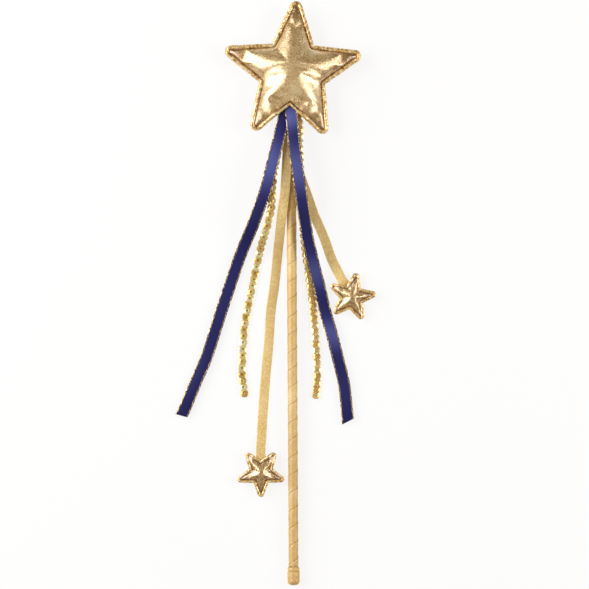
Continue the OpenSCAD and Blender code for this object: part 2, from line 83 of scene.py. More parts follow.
def tube_faces(rows, around, closed=False):
    """Quads over rings of points, stored ring by ring: closed to a loop, or capped at both ends."""
    faces = []
    for i in range(rows if closed else rows - 1):
        ring, after = i * around, (i + 1) % rows * around
        faces += [(ring + j, ring + (j + 1) % around, after + (j + 1) % around, after + j)
                  for j in range(around)]
    if not closed:
        faces += [tuple(range(around))[::-1], tuple(range((rows - 1) * around, rows * around))]
    return faces


def ease(t):
    t = min(1.0, max(0.0, t))
    return t * t * (3 - 2 * t)


print("lengths are in mm, one mm is", MM, "m")

# %% [markdown]
# The camera looks straight down, like the one that took the photograph. It stands far off with a
# long lens, so that the star and the tip keep their true proportions, and it is rolled a third of
# a degree because the rod isn't quite upright in the picture.

# %% Camera
# The width that is seen, at the height where most of the wand lies
VIEW_WIDTH, VIEW_LEVEL = 430.0, 8.0
VIEW_MIDDLE = (1.85, -0.74)
VIEW_ROLL = -0.00565
CAMERA_HEIGHT = 1600.0
FILM_WIDTH = 36.0

lens = bpy.data.cameras.new("camera")
lens.sensor_width = FILM_WIDTH
lens.lens = FILM_WIDTH * (CAMERA_HEIGHT - VIEW_LEVEL) / VIEW_WIDTH
camera = bpy.data.objects.new("camera", lens)
camera.location = Vector((*VIEW_MIDDLE, CAMERA_HEIGHT)) * MM
camera.rotation_euler = (0, 0, VIEW_ROLL)
scene.collection.objects.link(camera)
scene.camera = camera
scene.view_settings.view_transform = "Standard"
print("lens", round(lens.lens, 1), "mm")

# %% [markdown]
# A node material is a small graph. These helpers add a node with its settings and join two
# sockets, which keeps every material below short. A surface that is the same all over gets its
# numbers straight on the shader's own sockets.

# %% Node helpers
WHITE = (255, 255, 255)


def rgb(red, green, blue):
    """An sRGB colour as seen on screen, 0 to 255, as the linear colour a shader takes."""
    return tuple(((c / 255 + 0.055) / 1.055) ** 2.4 if c > 10 else c / 255 / 12.92
                 for c in (red, green, blue)) + (1.0,)


class Finish:
    """A material with one Principled shader, and short ways to add nodes to it."""

    def __init__(self, name, **sockets):
        self.material = bpy.data.materials.new(name)
        self.material.use_nodes = True
        self.nodes = self.material.node_tree.nodes
        self.links = self.material.node_tree.links
        self.shader = self.nodes["Principled BSDF"]
        for socket, value in sockets.items():
            self.shader.inputs[socket.replace("_", " ")].default_value = value

    def add(self, kind, values=(), **settings):
        node = self.nodes.new(kind)
        for key, value in settings.items():
            setattr(node, key, value)
        for socket, value in dict(values).items():
            self.put(value, node.inputs[socket])
        return node

    def put(self, value, socket):
        """Feed a socket: from another socket, from a painted layer by its name, or with a constant."""
        if isinstance(value, str):
            value = self.add("ShaderNodeAttribute", attribute_name=value).outputs["Fac"]
        if isinstance(value, bpy.types.NodeSocket):
            self.links.new(value, socket)
        else:
            socket.default_value = value

    def place(self, stretch=None):
        """Where a point lies in its own piece, in metres, or that place stretched along its axes."""
        where = self.add("ShaderNodeTexCoord").outputs["Object"]
        if stretch is None:
            return where
        return self.add("ShaderNodeMapping", {"Vector": where, "Scale": stretch}).outputs[0]

    def math(self, operation, a, b=0.0):
        return self.add("ShaderNodeMath", {0: a, 1: b}, operation=operation).outputs[0]

    def blend(self, a, share_a, b, share_b):
        """The sum of two values, each taken by its share."""
        return self.math("ADD", self.math("MULTIPLY", a, share_a), self.math("MULTIPLY", b, share_b))

    def between(self, value, low, high):
        """A value from 0 to 1, spread from low to high."""
        return self.add("ShaderNodeMapRange", {"Value": value, "To Min": low,
                                               "To Max": high}).outputs[0]

    def noise(self, scale, detail=2.0, rough=0.5, where=None, stretch=None):
        where = self.place(stretch) if where is None else where
        return self.add("ShaderNodeTexNoise", {"Vector": where, "Scale": scale, "Detail": detail,
                                               "Roughness": rough}).outputs[0]

    def ramp(self, value, *stops):
        """A colour for each level of a value: stops are (level, red, green, blue)."""
        node = self.add("ShaderNodeValToRGB", {"Fac": value})
        ends = node.color_ramp.elements
        while len(ends) < len(stops):
            ends.new(0.5)
        for end, (level, *colour) in zip(ends, stops):
            end.position = level
            end.color = rgb(*colour)
        return node.outputs["Color"]

    def mix(self, share, a, b, blend="MIX"):
        node = self.add("ShaderNodeMix", data_type="RGBA", blend_type=blend)
        for value, socket in ((share, 0), (a, 6), (b, 7)):
            self.put(value, node.inputs[socket])
        return node.outputs[2]

    def bump(self, height, depth_mm, strength=1.0, under=None):
        values = {"Height": height, "Distance": depth_mm * MM, "Strength": strength}
        if under is not None:
            values["Normal"] = under
        return self.add("ShaderNodeBump", values).outputs[0]

    def set(self, socket, value):
        self.put(value, self.shader.inputs[socket])

    def relief(self, height, depth_mm, *stops):
        """Colour and bumps from one and the same value."""
        self.set("Base Color", self.ramp(height, *stops))
        self.set("Normal", self.bump(height, depth_mm))

    def dress(self, piece, slot, body=None, node=None):
        """Put the finish on a piece. A piece made here also gets the body that it moves with and the
        CAD node that it replaces."""
        piece.data.materials.clear()
        piece.data.materials.append(self.material)
        if body:
            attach(piece, body)
            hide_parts(node)


print("colour helper: mid grey", [round(c, 3) for c in rgb(128, 128, 128)])

# %% [markdown]
# The floor is a white sheet of paper. The photograph's ground is pure white, so most of what the
# camera sees of the paper is a plain white, and the rest is the lit paper itself, which keeps a
# faint shadow under every streamer. Polished metal sees the same white floor.

# %% Floor
FLOOR_SIZE = 6000.0
FLOOR_BELOW = 0.05
SHADOW_SHARE = 0.16

floor = make_mesh("floor", [(x * FLOOR_SIZE / 2, y * FLOOR_SIZE / 2, -FLOOR_BELOW)
                            for x, y in ((-1, -1), (1, -1), (1, 1), (-1, 1))], [(0, 1, 2, 3)])
paper = Finish("white_paper", Base_Color=rgb(244, 244, 244), Roughness=0.9)
rays = paper.add("ShaderNodeLightPath").outputs
seen = paper.math("MAXIMUM", paper.math("MAXIMUM", rays["Is Camera Ray"], rays["Is Glossy Ray"]),
                  rays["Is Transmission Ray"])
white = paper.add("ShaderNodeEmission", {"Color": (1, 1, 1, 1), "Strength": 1.0})
sheet = paper.add("ShaderNodeMixShader", {0: paper.math("MULTIPLY", seen, 1 - SHADOW_SHARE),
                                          1: paper.shader.outputs[0], 2: white.outputs[0]})
paper.put(sheet.outputs[0], paper.nodes["Material Output"].inputs["Surface"])
floor.data.materials.append(paper.material)
print("floor", FLOOR_SIZE / 1000, "m wide")

# %% [markdown]
# Foil and satin have little colour of their own: they show the room. So the light is a studio
# with something to show: a large soft box on either side, a small one over the tip, and a dim, warm
# surround. The boxes become the highlights, and the surround becomes the brown bands between them.
# Together they light a flat surface at about the level its colour is written.

# %% Light
CEILING, WALL, HORIZON = 0.24, 0.22, 0.14
WARM = (1.0, 0.86, 0.66)

world = bpy.data.worlds.new("studio")
world.use_nodes = True
scene.world = world
room, joins = world.node_tree.nodes, world.node_tree.links
ray = room.new("ShaderNodeTexCoord")
parts = room.new("ShaderNodeSeparateXYZ")
levels = room.new("ShaderNodeValToRGB")
joins.new(ray.outputs["Generated"], parts.inputs[0])
joins.new(parts.outputs["Z"], levels.inputs["Fac"])
joins.new(levels.outputs["Color"], room["Background"].inputs["Color"])
stops = levels.color_ramp.elements
stops.new(0.5)
for stop, (height, level) in zip(stops, ((0.05, HORIZON), (0.55, WALL), (1.0, CEILING))):
    stop.position = height
    stop.color = tuple(level * part for part in WARM) + (1,)

LIGHT_AIM = Vector((0, 40, 0))


def soft_box(name, place, size, power):
    lamp = bpy.data.lights.new(name, "AREA")
    lamp.shape = "RECTANGLE"
    lamp.size, lamp.size_y = size[0] * MM, size[1] * MM
    lamp.energy = power
    box = bpy.data.objects.new(name, lamp)
    box.location = Vector(place) * MM
    box.rotation_euler = (LIGHT_AIM - Vector(place)).to_track_quat("-Z", "Y").to_euler()
    scene.collection.objects.link(box)


soft_box("left_box", (-1030, 300, 790), (1200, 1100), 20.5)
soft_box("right_box", (1060, 60, 780), (800, 700), 9.2)
soft_box("foot_box", (60, -640, 1200), (500, 250), 0.5)
print("three soft boxes and a dim surround")

# %% [markdown]
# The streamers come first, because their routes decide how much room the wand takes. Each one
# starts at the tack in the star's mouth, rides over the others there in its own layer, and comes
# down to the table further on. The routes are the CAD model's own points, in mm, and a smooth
# curve is run through them.

# %% Routes of the streamers
MOUTH = (-1, 137)
NAVY_LEFT = [MOUTH, (-5, 128), (-9.5, 110), (-14, 93), (-18.5, 76), (-25, 58), (-28.5, 49),
             (-32.5, 40), (-36, 32), (-39.5, 23), (-45.5, 5.5), (-51.5, -12), (-57, -29),
             (-63, -47), (-70.5, -64), (-78, -82), (-81.5, -89)]
NAVY_RIGHT = [MOUTH, (0.5, 129), (2, 111), (4, 94), (6.5, 76), (9, 58), (11.5, 41), (13.5, 32),
              (15.5, 23), (17.5, 15), (20, 6), (24, -12), (29, -30), (33.5, -48), (37.5, -65),
              (39.5, -82), (40.5, -94)]
GOLD_LEFT = [MOUTH, (-2, 123), (-3, 100), (-4, 84), (-5, 71), (-7, 58), (-8, 49), (-9, 40),
             (-10, 32), (-11, 23), (-13, 5), (-15.5, -12), (-17.5, -38), (-20, -64), (-22, -90),
             (-23, -106), (-23.5, -114), (-23.5, -123)]
GOLD_RIGHT = [MOUTH, (-0.5, 123), (0.5, 112), (3, 99), (6.5, 86), (11.5, 72), (16.5, 58),
              (22, 45), (25.5, 36), (28.5, 27), (32.5, 18), (36.5, 10), (40.5, 4.5)]
SEQUINS_LEFT = [MOUTH, (-5, 125), (-8, 110), (-11, 97), (-13, 84), (-14, 75), (-14.5, 63),
                (-16.5, 54), (-19, 45), (-22, 36), (-24, 28), (-26, 19), (-28, 10), (-32, -8),
                (-35, -25), (-36.5, -47), (-37, -60), (-35, -75)]
SEQUINS_RIGHT = [MOUTH, (5, 129), (6, 119), (6, 108), (6.5, 94), (7, 76), (8, 58), (9, 42),
                 (10, 32), (11.5, 20), (13.5, 5), (15.5, -12), (17, -32), (18, -52), (18, -65),
                 (17, -76)]


def run_along(line):
    """How far along a line each of its points lies."""
    return np.concatenate([[0], np.cumsum(np.linalg.norm(np.diff(line, axis=0), axis=1))])


def length_of(line):
    return float(run_along(line)[-1])


def read_at(places, along, values):
    """Values known at some distances along a line, read at other distances."""
    return np.column_stack([np.interp(places, along, column) for column in values.T])


CURVE_STEPS = 24


def smooth_line(points, step):
    """A spline that passes through the points, cut into even steps."""
    p = np.array(points, dtype=float)
    padded = np.vstack([2 * p[0] - p[1], p, 2 * p[-1] - p[-2]])
    fine = []
    for a, b, c, d in zip(padded, padded[1:], padded[2:], padded[3:]):
        for t in np.linspace(0, 1, CURVE_STEPS, endpoint=False):
            fine.append(0.5 * (2 * b + (c - a) * t + (2 * a - 5 * b + 4 * c - d) * t ** 2
                               + (3 * b - a - 3 * c + d) * t ** 3))
    fine = np.vstack([fine, p[-1]])
    along = run_along(fine)
    steps = max(1, int(round(along[-1] / step)))
    return read_at(np.linspace(0, along[-1], steps + 1), along, fine)


print("navy ribbon, left, as drawn:", round(length_of(smooth_line(NAVY_LEFT, 2)), 1), "mm")

# %% [markdown]
# Heights follow the same rule for all six: level at the mouth's layer, then an eased fall to the
# table between two distances from the mouth. The gold ribbons rise again at their far end, to go
# into the seam of their charms.

# %% Heights of the streamers
RIBBON_T = 0.4
CHARM_SEAM_Z = 4.6
CHARM_RISE, CHARM_MOUTH_R = 18.0, 3.8
LEFT_FALL, NAVY_RIGHT_FALL = (80, 118), (100, 135)
GOLD_RIGHT_FALL, SEQUINS_RIGHT_FALL = (50, 88), (62, 100)


def laid(route, high, low, fall, to_charm=False, step=1.5, humps=()):
    """A streamer's middle line in mm, with its heights. A hump is (distance from the mouth,
    half length, height), where a ribbon stands off what it lies on."""
    line = smooth_line(route, step)
    tack, end = np.array(route[0]), np.array(route[-1])
    points = []
    for p in line:
        far = np.linalg.norm(p - tack)
        z = high + (low - high) * ease((far - fall[0]) / (fall[1] - fall[0]))
        z += sum(rise * math.exp(-((far - at) / half_length) ** 2) for at, half_length, rise in humps)
        if to_charm:
            rise = 1 - (np.linalg.norm(p - end) - CHARM_MOUTH_R) / CHARM_RISE
            z += (CHARM_SEAM_Z - z) * ease(rise)
        points.append((p[0], p[1], z))
    return np.array(points)


def layer_of(node):
    """Middle height of a ribbon's layer at the mouth, read from the CAD node's highest point."""
    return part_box(node)[1].z / MM - RIBBON_T / 2


GOLD_FLOOR, SEQUIN_FLOOR, NAVY_FLOOR = 0.1, 1.1, 3.05
half = RIBBON_T / 2
navy_left_line = laid(NAVY_LEFT, layer_of("navy_ribbon_left"), NAVY_FLOOR + half, LEFT_FALL,
                      humps=[(52, 18, 1.4)])
navy_right_line = laid(NAVY_RIGHT, layer_of("navy_ribbon_right"), NAVY_FLOOR + half, NAVY_RIGHT_FALL,
                       humps=[(14, 11, 1.0), (54, 24, 3.0), (126, 18, 1.8), (175, 15, 1.8)])
gold_left_line = laid(GOLD_LEFT, layer_of("gold_ribbon_left"), GOLD_FLOOR + half, LEFT_FALL,
                      to_charm=True)
gold_right_line = laid(GOLD_RIGHT, layer_of("gold_ribbon_right"), GOLD_FLOOR + half, GOLD_RIGHT_FALL,
                       to_charm=True)
for name, line in (("navy left", navy_left_line), ("navy right", navy_right_line),
                   ("gold left", gold_left_line), ("gold right", gold_right_line)):
    print(name, "is", round(length_of(line), 1), "mm long, from", round(line[0][2], 1), "mm high")

# %% [markdown]
# A ribbon could be a plane with a curve modifier, but its edges, its slight roll and its cut end
# matter here, so its cross-section is swept by hand. Twelve points across make a flat band with a
# small bead along each selvedge, where the metal thread runs. The roll angle turns the band about
# its own middle line, which is what makes satin flash bright in one place and dark in the next.

# %% Sweep a ribbon


def along_directions(line):
    ways = np.gradient(line, axis=0)
    return ways / np.linalg.norm(ways, axis=1)[:, None]


def side_of(way):
    """The level direction across a way."""
    side = np.cross((0, 0, 1), way)
    return side / np.linalg.norm(side)


# Points across a ribbon from edge to edge, where its beads begin, and how thin it ends
ACROSS = (-1, -0.96, -0.88, -0.8, -0.55, -0.2, 0.2, 0.55, 0.8, 0.88, 0.96, 1)
BEAD_FROM, EDGE_THIN = 0.84, 0.35


def sweep_ribbon(name, line, width, roll, bead=0.0, bow=0.0, cut=0.0):
    """A ribbon along a line: roll gives its turn in degrees at a distance along it, bow lifts its
    middle, bead thickens its edges, and cut slants its far end."""
    done = run_along(line)
    points = []
    for p, way, s in zip(line, along_directions(line), done):
        turn = math.radians(roll(s))
        flat = side_of(way) * math.cos(turn) + np.array((0, 0, math.sin(turn)))
        up = np.cross(way, flat)
        late = ease(1 - (done[-1] - s) / (2 * width))
        for face in (1, -1):
            for v in ACROSS[::face]:
                edge = max(0.0, (abs(v) - BEAD_FROM) / (1 - BEAD_FROM))
                body = RIBBON_T / 2 + (edge > 0) * bead * math.sqrt(max(0.0, 1 - (2 * edge - 1) ** 2))
                body *= EDGE_THIN if abs(v) == 1 else 1
                points.append(p + (flat + way * cut * late) * v * width / 2
                              + up * (face * body + bow * (1 - v * v)))
    section = ACROSS + ACROSS[::-1]
    piece = make_mesh(name, points, tube_faces(len(line), len(section)))
    paint_values(piece, across=section * len(line), along=np.repeat(done, len(section)))
    return piece


def wave(*swings):
    """A roll in degrees along a ribbon: a sum of (size, wavelength, start) swings."""
    return lambda s: sum(a * math.sin(2 * math.pi * (s - at) / length) for a, length, at in swings)


NAVY_W, GOLD_W = 9.0, 7.0
navy_left = sweep_ribbon("navy_ribbon_left_satin", navy_left_line, NAVY_W,
                         wave((4, 170, 0), (2, 61, 12)), bead=0.16, bow=0.3, cut=-0.2)
navy_right = sweep_ribbon("navy_ribbon_right_satin", navy_right_line, NAVY_W,
                          wave((4, 120, -20), (2, 47, 5)), bead=0.16, bow=0.3, cut=-0.41)
gold_left = sweep_ribbon("gold_ribbon_left_lame", gold_left_line, GOLD_W,
                         wave((3, 150, 10), (2, 53, 0)), bow=0.12)
gold_right = sweep_ribbon("gold_ribbon_right_lame", gold_right_line, GOLD_W,
                          wave((3, 130, 40), (2, 41, 0)), bow=0.12)
print("four ribbons of", NAVY_W, "and", GOLD_W, "mm")

# %% [markdown]
# Navy satin is woven so that long warp threads float on its face. Where a ribbon bows up, its
# threads turn to the light and shine in one broad band. That band is painted sheen: a value painted
# along the ribbon lightens the colour there, and very fine lines of the weave run through it. The
# selvedge holds a metal thread that catches the light in specks, gold beside dark.

# %% Navy satin
SELVEDGE = 0.77


def paint_bowed(ribbon, sheen_bands):
    """Paint sheen bands along a ribbon, as a value that lightens its colour: sheen_bands are (distance
    along, half width, share).
    """
    along = np.array([value.value for value in ribbon.data.attributes["along"].data])
    paint_values(ribbon, bowed=sum(share * np.exp(-((along - at) / wide) ** 2)
                                   for at, wide, share in sheen_bands))


# Painted sheen: the bright bands of satin shine, laid into the colour at these distances along each
# ribbon
paint_bowed(navy_left, [(46, 18, 1.0), (150, 40, 0.15)])
paint_bowed(navy_right, [(9, 9, 1.0), (47, 17, 1.05), (124, 13, 0.9), (173, 12, 0.85), (214, 14, 0.2)])

navy = Finish("navy_satin", Roughness=0.4, Sheen_Weight=0.08, Sheen_Roughness=0.4,
              Sheen_Tint=rgb(110, 115, 215), Specular_IOR_Level=0.3)


def thread_noise(across, along, detail, rough):
    """Noise that follows the weave, with so many lines across the ribbon and so many along it."""
    where = navy.add("ShaderNodeCombineXYZ", {"X": navy.math("MULTIPLY", "across", across),
                                              "Y": navy.math("MULTIPLY", "along", along)})
    return navy.noise(1.0, detail, rough, where.outputs[0])


edge = navy.math("GREATER_THAN", navy.math("ABSOLUTE", "across"), SELVEDGE)
warp = thread_noise(26.0, 0.12, 3, 0.6)
# The weave's colour, painted lighter where the sheen bands lie, as painted highlight
satin_and_sheen = navy.ramp(navy.blend(warp, 0.3, "bowed", 0.7), (0.08, 30, 29, 82), (0.3, 44, 45, 110),
                         (0.85, 86, 92, 162))
speck = thread_noise(6.0, 0.85, 1, 0.5)
metal_thread = navy.ramp(speck, (0.47, 16, 12, 18), (0.52, 150, 108, 50), (0.6, 255, 236, 176))
navy.set("Base Color", navy.mix(edge, satin_and_sheen, metal_thread))
navy.set("Metallic", navy.between(edge, 0.35, 0.65))
navy.set("Normal", navy.bump(navy.blend(warp, 0.35, edge, speck), 0.06))
navy.dress(navy_left, "navy_satin", "navy_left", "navy_ribbon_left")
navy.dress(navy_right, "navy_satin", "navy_right", "navy_ribbon_right")
print("navy satin on two ribbons")

# %% [markdown]
# The gold ribbon is woven from flat metal strips, so it sparkles in a fine grain rather than in
# one sheen. Small cells of slightly different gold, each tilted a little by the bump, give that.

# %% Gold ribbon
lame = Finish("gold_lame", Metallic=0.2, Roughness=0.42)
strips = lame.add("ShaderNodeTexVoronoi", {"Vector": lame.place(), "Scale": 2600})
shade = lame.add("ShaderNodeSeparateColor", {"Color": strips.outputs["Color"]}).outputs[0]
lame.set("Base Color", lame.ramp(lame.blend(shade, 0.7, lame.noise(60, 2), 0.3), (0.1, 208, 166, 88),
                                 (0.5, 230, 197, 124), (0.9, 252, 236, 184)))
lame.set("Normal", lame.bump(shade, 0.02))
lame.dress(gold_left, "gold_ribbon", "gold_left", "gold_ribbon_left")
lame.dress(gold_right, "gold_ribbon", "gold_right", "gold_ribbon_right")
print("gold ribbon on two streamers")

# %% [markdown]
# Each sequin is a little stamped cup: a flat middle with a hole, and a rim pressed up in eight
# facets. One cup is drawn as a profile turned about its hole, and then placed again and again
# along the strand. Every cup leans on the next like a roof tile, and a small random tilt keeps
# the row from looking printed. The random numbers have a fixed seed, so each run is the same.

# %% Cup sequins
SEQUIN_D, SEQUIN_PITCH, FIRST_SEQUIN, SEQUIN_TILT = 6.0, 4.7, 10.0, 10.0
CUP_DEPTH, CUP_SIDES, CUP_FACETS = 0.3, 24, 8
SEQUIN_H = SEQUIN_D * math.sin(math.radians(SEQUIN_TILT)) + CUP_DEPTH
LAST_MARGIN = 0.5
# How deep a cup's facets are pressed, at least and at most, and the share of the radius they begin at
FACET_DEPTH, FACETS_FROM = (0.04, 0.12), 0.5
# Profile from the hole to the rim and back underneath: (share of the radius, height in mm)
CUP_PROFILE = [(0.13, -0.1), (0.17, -0.07), (0.42, -0.06), (0.5, -0.03), (0.96, 0.1), (1.0, 0.08),
               (0.96, 0.02), (0.5, -0.12), (0.42, -0.16), (0.17, -0.16)]


def cup_points(rng):
    """One cup about the origin, its facets pressed in by a slightly different amount each time."""
    press = rng.uniform(*FACET_DEPTH)
    points = []
    for share, z in CUP_PROFILE:
        for k in range(CUP_SIDES):
            a = 2 * math.pi * k / CUP_SIDES
            facet = math.cos(CUP_FACETS * a) * press * max(0.0, share - FACETS_FROM)
            points.append((share * SEQUIN_D / 2 * math.cos(a), share * SEQUIN_D / 2 * math.sin(a),
                           z + facet))
    return points


def stations_along(line):
    """Where each sequin sits on its strand, and which way the strand runs there."""
    done = run_along(line)
    places = np.arange(FIRST_SEQUIN, done[-1] - LAST_MARGIN, SEQUIN_PITCH)
    return zip(read_at(places, done, line), read_at(places, done, along_directions(line)))


# How much a cup's tilt and roll vary, in degrees, and its heading and its spin, in radians
TILT_PLAY, ROLL_PLAY = 3.5, 9
HEADING_PLAY, SPIN_PLAY = 0.12, 6
# The dish begins at this share of the radius, and the backs of the cups are flatter than their fronts
DISH_FROM, BACK_DISH = 0.45, 0.35
CUP_SHARES = [share for share, _ in CUP_PROFILE for _ in range(CUP_SIDES)]


def sequin_strand(name, line, seed, face_down):
    rng = random.Random(seed)
    points, faces, tones = [], [], []
    cup_faces = tube_faces(len(CUP_PROFILE), CUP_SIDES, closed=True)
    for place, way in stations_along(line):
        lean = math.asin(way[2]) + math.radians(SEQUIN_TILT + rng.uniform(-TILT_PLAY, TILT_PLAY))
        heading = math.atan2(way[1], way[0]) + rng.uniform(-HEADING_PLAY, HEADING_PLAY)
        roll = math.radians(rng.uniform(-ROLL_PLAY, ROLL_PLAY))
        turn = (Matrix.Rotation(heading, 3, "Z") @ Matrix.Rotation(-lean, 3, "Y")
                @ Matrix.Rotation(roll, 3, "X") @ Matrix.Rotation(math.pi if face_down else 0, 3, "X")
                @ Matrix.Rotation(rng.uniform(0, SPIN_PLAY), 3, "Z"))
        at = Vector(place) + Vector((0, 0, SEQUIN_H / 2))
        faces += [tuple(len(points) + i for i in f) for f in cup_faces]
        tones += [rng.random()] * len(CUP_SHARES)
        points += [tuple(at + turn @ Vector(p)) for p in cup_points(rng)]
    strand = make_mesh(name, points, faces)
    from_hole = np.tile(CUP_SHARES, len(points) // len(CUP_SHARES))
    dish = (BACK_DISH if face_down else 1.0) * np.maximum(0, from_hole - DISH_FROM)
    paint_values(strand, tone=tones, from_hole=from_hole, dish=dish)
    return strand


SEQUIN_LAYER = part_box("sequins_left")[1].z / MM - SEQUIN_H
sequins_left_line = laid(SEQUINS_LEFT, SEQUIN_LAYER, SEQUIN_FLOOR, LEFT_FALL)
sequins_right_line = laid(SEQUINS_RIGHT, SEQUIN_LAYER, SEQUIN_FLOOR, SEQUINS_RIGHT_FALL)
sequins_left = sequin_strand("sequins_left_cups", sequins_left_line, seed=11, face_down=False)
sequins_right = sequin_strand("sequins_right_cups", sequins_right_line, seed=12, face_down=True)
print("sequins:", [len(strand.data.vertices) // len(CUP_SHARES)
                   for strand in (sequins_left, sequins_right)])

# %% [markdown]
# Sequin foil is a clear gold film over silver, so it reflects sharply. Each cup takes its own
# tone of gold, and a dark ring is painted round the stamped hole as painted shade. A cup is deeper
# than its thin profile, so the normal is dished a little more, which gives every cup a bright side
# and a darker one.

# %% Sequin foil
sequin_foil = Finish("sequin_foil", Metallic=0.55, Coat_Weight=0.8, Coat_Roughness=0.14)
cup_tone = sequin_foil.ramp("tone", (0.0, 222, 180, 92), (0.45, 250, 222, 140), (1.0, 255, 242, 184))
# Painted shade: the foil darkens in a ring round each hole
hole_shade = sequin_foil.ramp("from_hole", (0.17, 70, 52, 24), (0.3, *WHITE))
sequin_foil.set("Base Color", sequin_foil.mix(1.0, cup_tone, hole_shade, "MULTIPLY"))
scuff = sequin_foil.noise(900, 3, 0.6)
sequin_foil.set("Roughness", sequin_foil.between(scuff, 0.14, 0.34))
sequin_foil.set("Normal", sequin_foil.bump("dish", 0.9, 1.0, sequin_foil.bump(scuff, 0.02)))
sequin_foil.dress(sequins_left, "gold_sequin", "strand_left", "sequins_left")
sequin_foil.dress(sequins_right, "gold_sequin", "strand_right", "sequins_right")
print("foil on both strands")

# %% [markdown]
# The sequins are sewn on a thread. The left strand shows its good side, with the thread running
# underneath. The right strand has rolled over, so its chain stitch lies on top: two plies that
# cross at every hole. A tube swept along a wavy line makes each ply.

# %% Sweep a tube


def sweep_tube(name, line, radius, sides, closed=False):
    """A round tube along a line. An open one carries its frame from point to point, so that it never
    flips. A closed one lies flat, so its frame is kept upright."""
    ways = np.roll(line, -1, axis=0) - np.roll(line, 1, axis=0) if closed else np.gradient(line, axis=0)
    ways /= np.linalg.norm(ways, axis=1)[:, None]
    turns = [2 * math.pi * k / sides for k in range(sides)]
    side, points = side_of(ways[0]), []
    for p, way, radii in zip(line, ways, np.broadcast_to(radius, (len(line), sides))):
        side = side_of(way) if closed else side - way * np.dot(side, way)
        side /= np.linalg.norm(side)
        up = np.cross(way, side)
        points += [p + r * (side * math.cos(a) + up * math.sin(a)) for r, a in zip(radii, turns)]
    piece = make_mesh(name, points, tube_faces(len(line), sides, closed))
    paint_values(piece, along=np.repeat(run_along(line), sides),
                 around=np.tile(np.arange(sides) / sides, len(line)))
    return piece


def join_pieces(name, pieces):
    """Several meshes as one object, with their painted values kept."""
    with bpy.context.temp_override(active_object=pieces[0], selected_editable_objects=pieces,
                                   selected_objects=pieces):
        bpy.ops.object.join()
    pieces[0].name = name
    pieces[0].data.name = name
    return pieces[0]


THREAD_R, THREAD_SIDES = 0.25, 6
# The plies' distance apart, as a share of their radius, and how far a stitch dips for its sway
PLY_GAP, STITCH_DIP = 0.8, 0.35


def sewing_thread(name, line, rise, tack_rise, sway):
    """The thread of a strand: plies that run at a height in the sequins' layer and sway across it."""
    plies = []
    for hand in (1, -1):
        ply = []
        for p, way, s in zip(line, along_directions(line), run_along(line)):
            sewn = ease(s / FIRST_SEQUIN)
            stitch = math.pi * (s - FIRST_SEQUIN) / SEQUIN_PITCH
            out = THREAD_R * PLY_GAP + sewn * sway * abs(math.sin(stitch))
            lift = tack_rise + sewn * (rise - tack_rise + sway * STITCH_DIP * math.cos(2 * stitch))
            ply.append(p + side_of(way) * hand * out + np.array((0, 0, lift)))
        plies.append(sweep_tube(name + "_ply", np.array(ply), THREAD_R, THREAD_SIDES))
    return join_pieces(name, plies)


# The threads are cut off a few steps before the end of their route
THREAD_STEP, CUT_STEPS = 0.6, 6
fine_left = laid(SEQUINS_LEFT, SEQUIN_LAYER, SEQUIN_FLOOR, LEFT_FALL, step=THREAD_STEP)
fine_right = laid(SEQUINS_RIGHT, SEQUIN_LAYER, SEQUIN_FLOOR, SEQUINS_RIGHT_FALL, step=THREAD_STEP)
thread_left = sewing_thread("sequin_thread_left_sewn", fine_left[:-CUT_STEPS],
                            rise=0.12, tack_rise=0.3, sway=0.15)
thread_right = sewing_thread("sequin_thread_right_sewn", fine_right[:-CUT_STEPS],
                             rise=SEQUIN_H - 0.05, tack_rise=1.1, sway=0.75)
print("two threads,", round(length_of(fine_left)), "and", round(length_of(fine_right)), "mm")

# %% [markdown]
# Sewing thread is two or three twisted strands. Slanted stripes along the tube, pushed into the
# normal, read as the twist.

# %% Gold sewing thread
twist = Finish("gold_sewing_thread", Roughness=0.55, Sheen_Weight=0.3)
ply_turns = twist.math("FRACT", twist.blend("along", 0.9, "around", 2.0))
strand_height = twist.math("SINE", twist.math("MULTIPLY", ply_turns, math.pi))
twist.relief(strand_height, 0.08, (0.1, 150, 88, 28), (0.6, 222, 158, 66), (1.0, 246, 200, 112))
twist.dress(thread_left, "gold_thread", "strand_left", "sequin_thread_left")
twist.dress(thread_right, "gold_thread", "strand_right", "sequin_thread_right")
print("thread finish set")

# %% [markdown]
# The star is two panels of gold leatherette, sewn together round a piped seam and stuffed through
# the lowest notch, where the rod and the streamers go in. Its outline comes from the five tips
# and five notches as they lie in the photograph, because a hand-sewn star is never quite regular.
# Each tip is a small arc, and straight edges run from the arc to the notches beside it.

# %% Star outline
PIPING_R = 1.6
STAR_MIDDLE = np.array((0.8, 161.0))
# Outermost points of the piping, round the star from the top, tips and notches in turn
STAR_TIPS = [(4.5, 213.1), (-47.7, 178.0), (-27.8, 119.4), (25.0, 116.6), (51.2, 173.8)]
STAR_NOTCHES = [(-13.4, 182.3), (-23.2, 154.0), (-0.9, 136.4), (25.2, 152.3), (17.2, 180.7)]
TIP_ARC_R, LEAST_ARC_R, ARC_STEPS = 3.1, 0.4, 9
# A notch moves further than a tip when the seam is set in, because its edges meet at a slant
NOTCH_SHARE = 1.17


def pull_in(points, middle, distance):
    return [np.array(p) - (np.array(p) - middle) / np.linalg.norm(np.array(p) - middle) * distance
            for p in points]


def touch_point(start, centre, radius, hand):
    """Where a straight line from start touches a circle, on its right (-1) or left (+1) side."""
    gap = centre - start
    reach = math.sqrt(gap @ gap - radius * radius)
    turn = math.atan2(gap[1], gap[0]) + hand * math.asin(radius / math.sqrt(gap @ gap))
    return start + reach * np.array((math.cos(turn), math.sin(turn)))


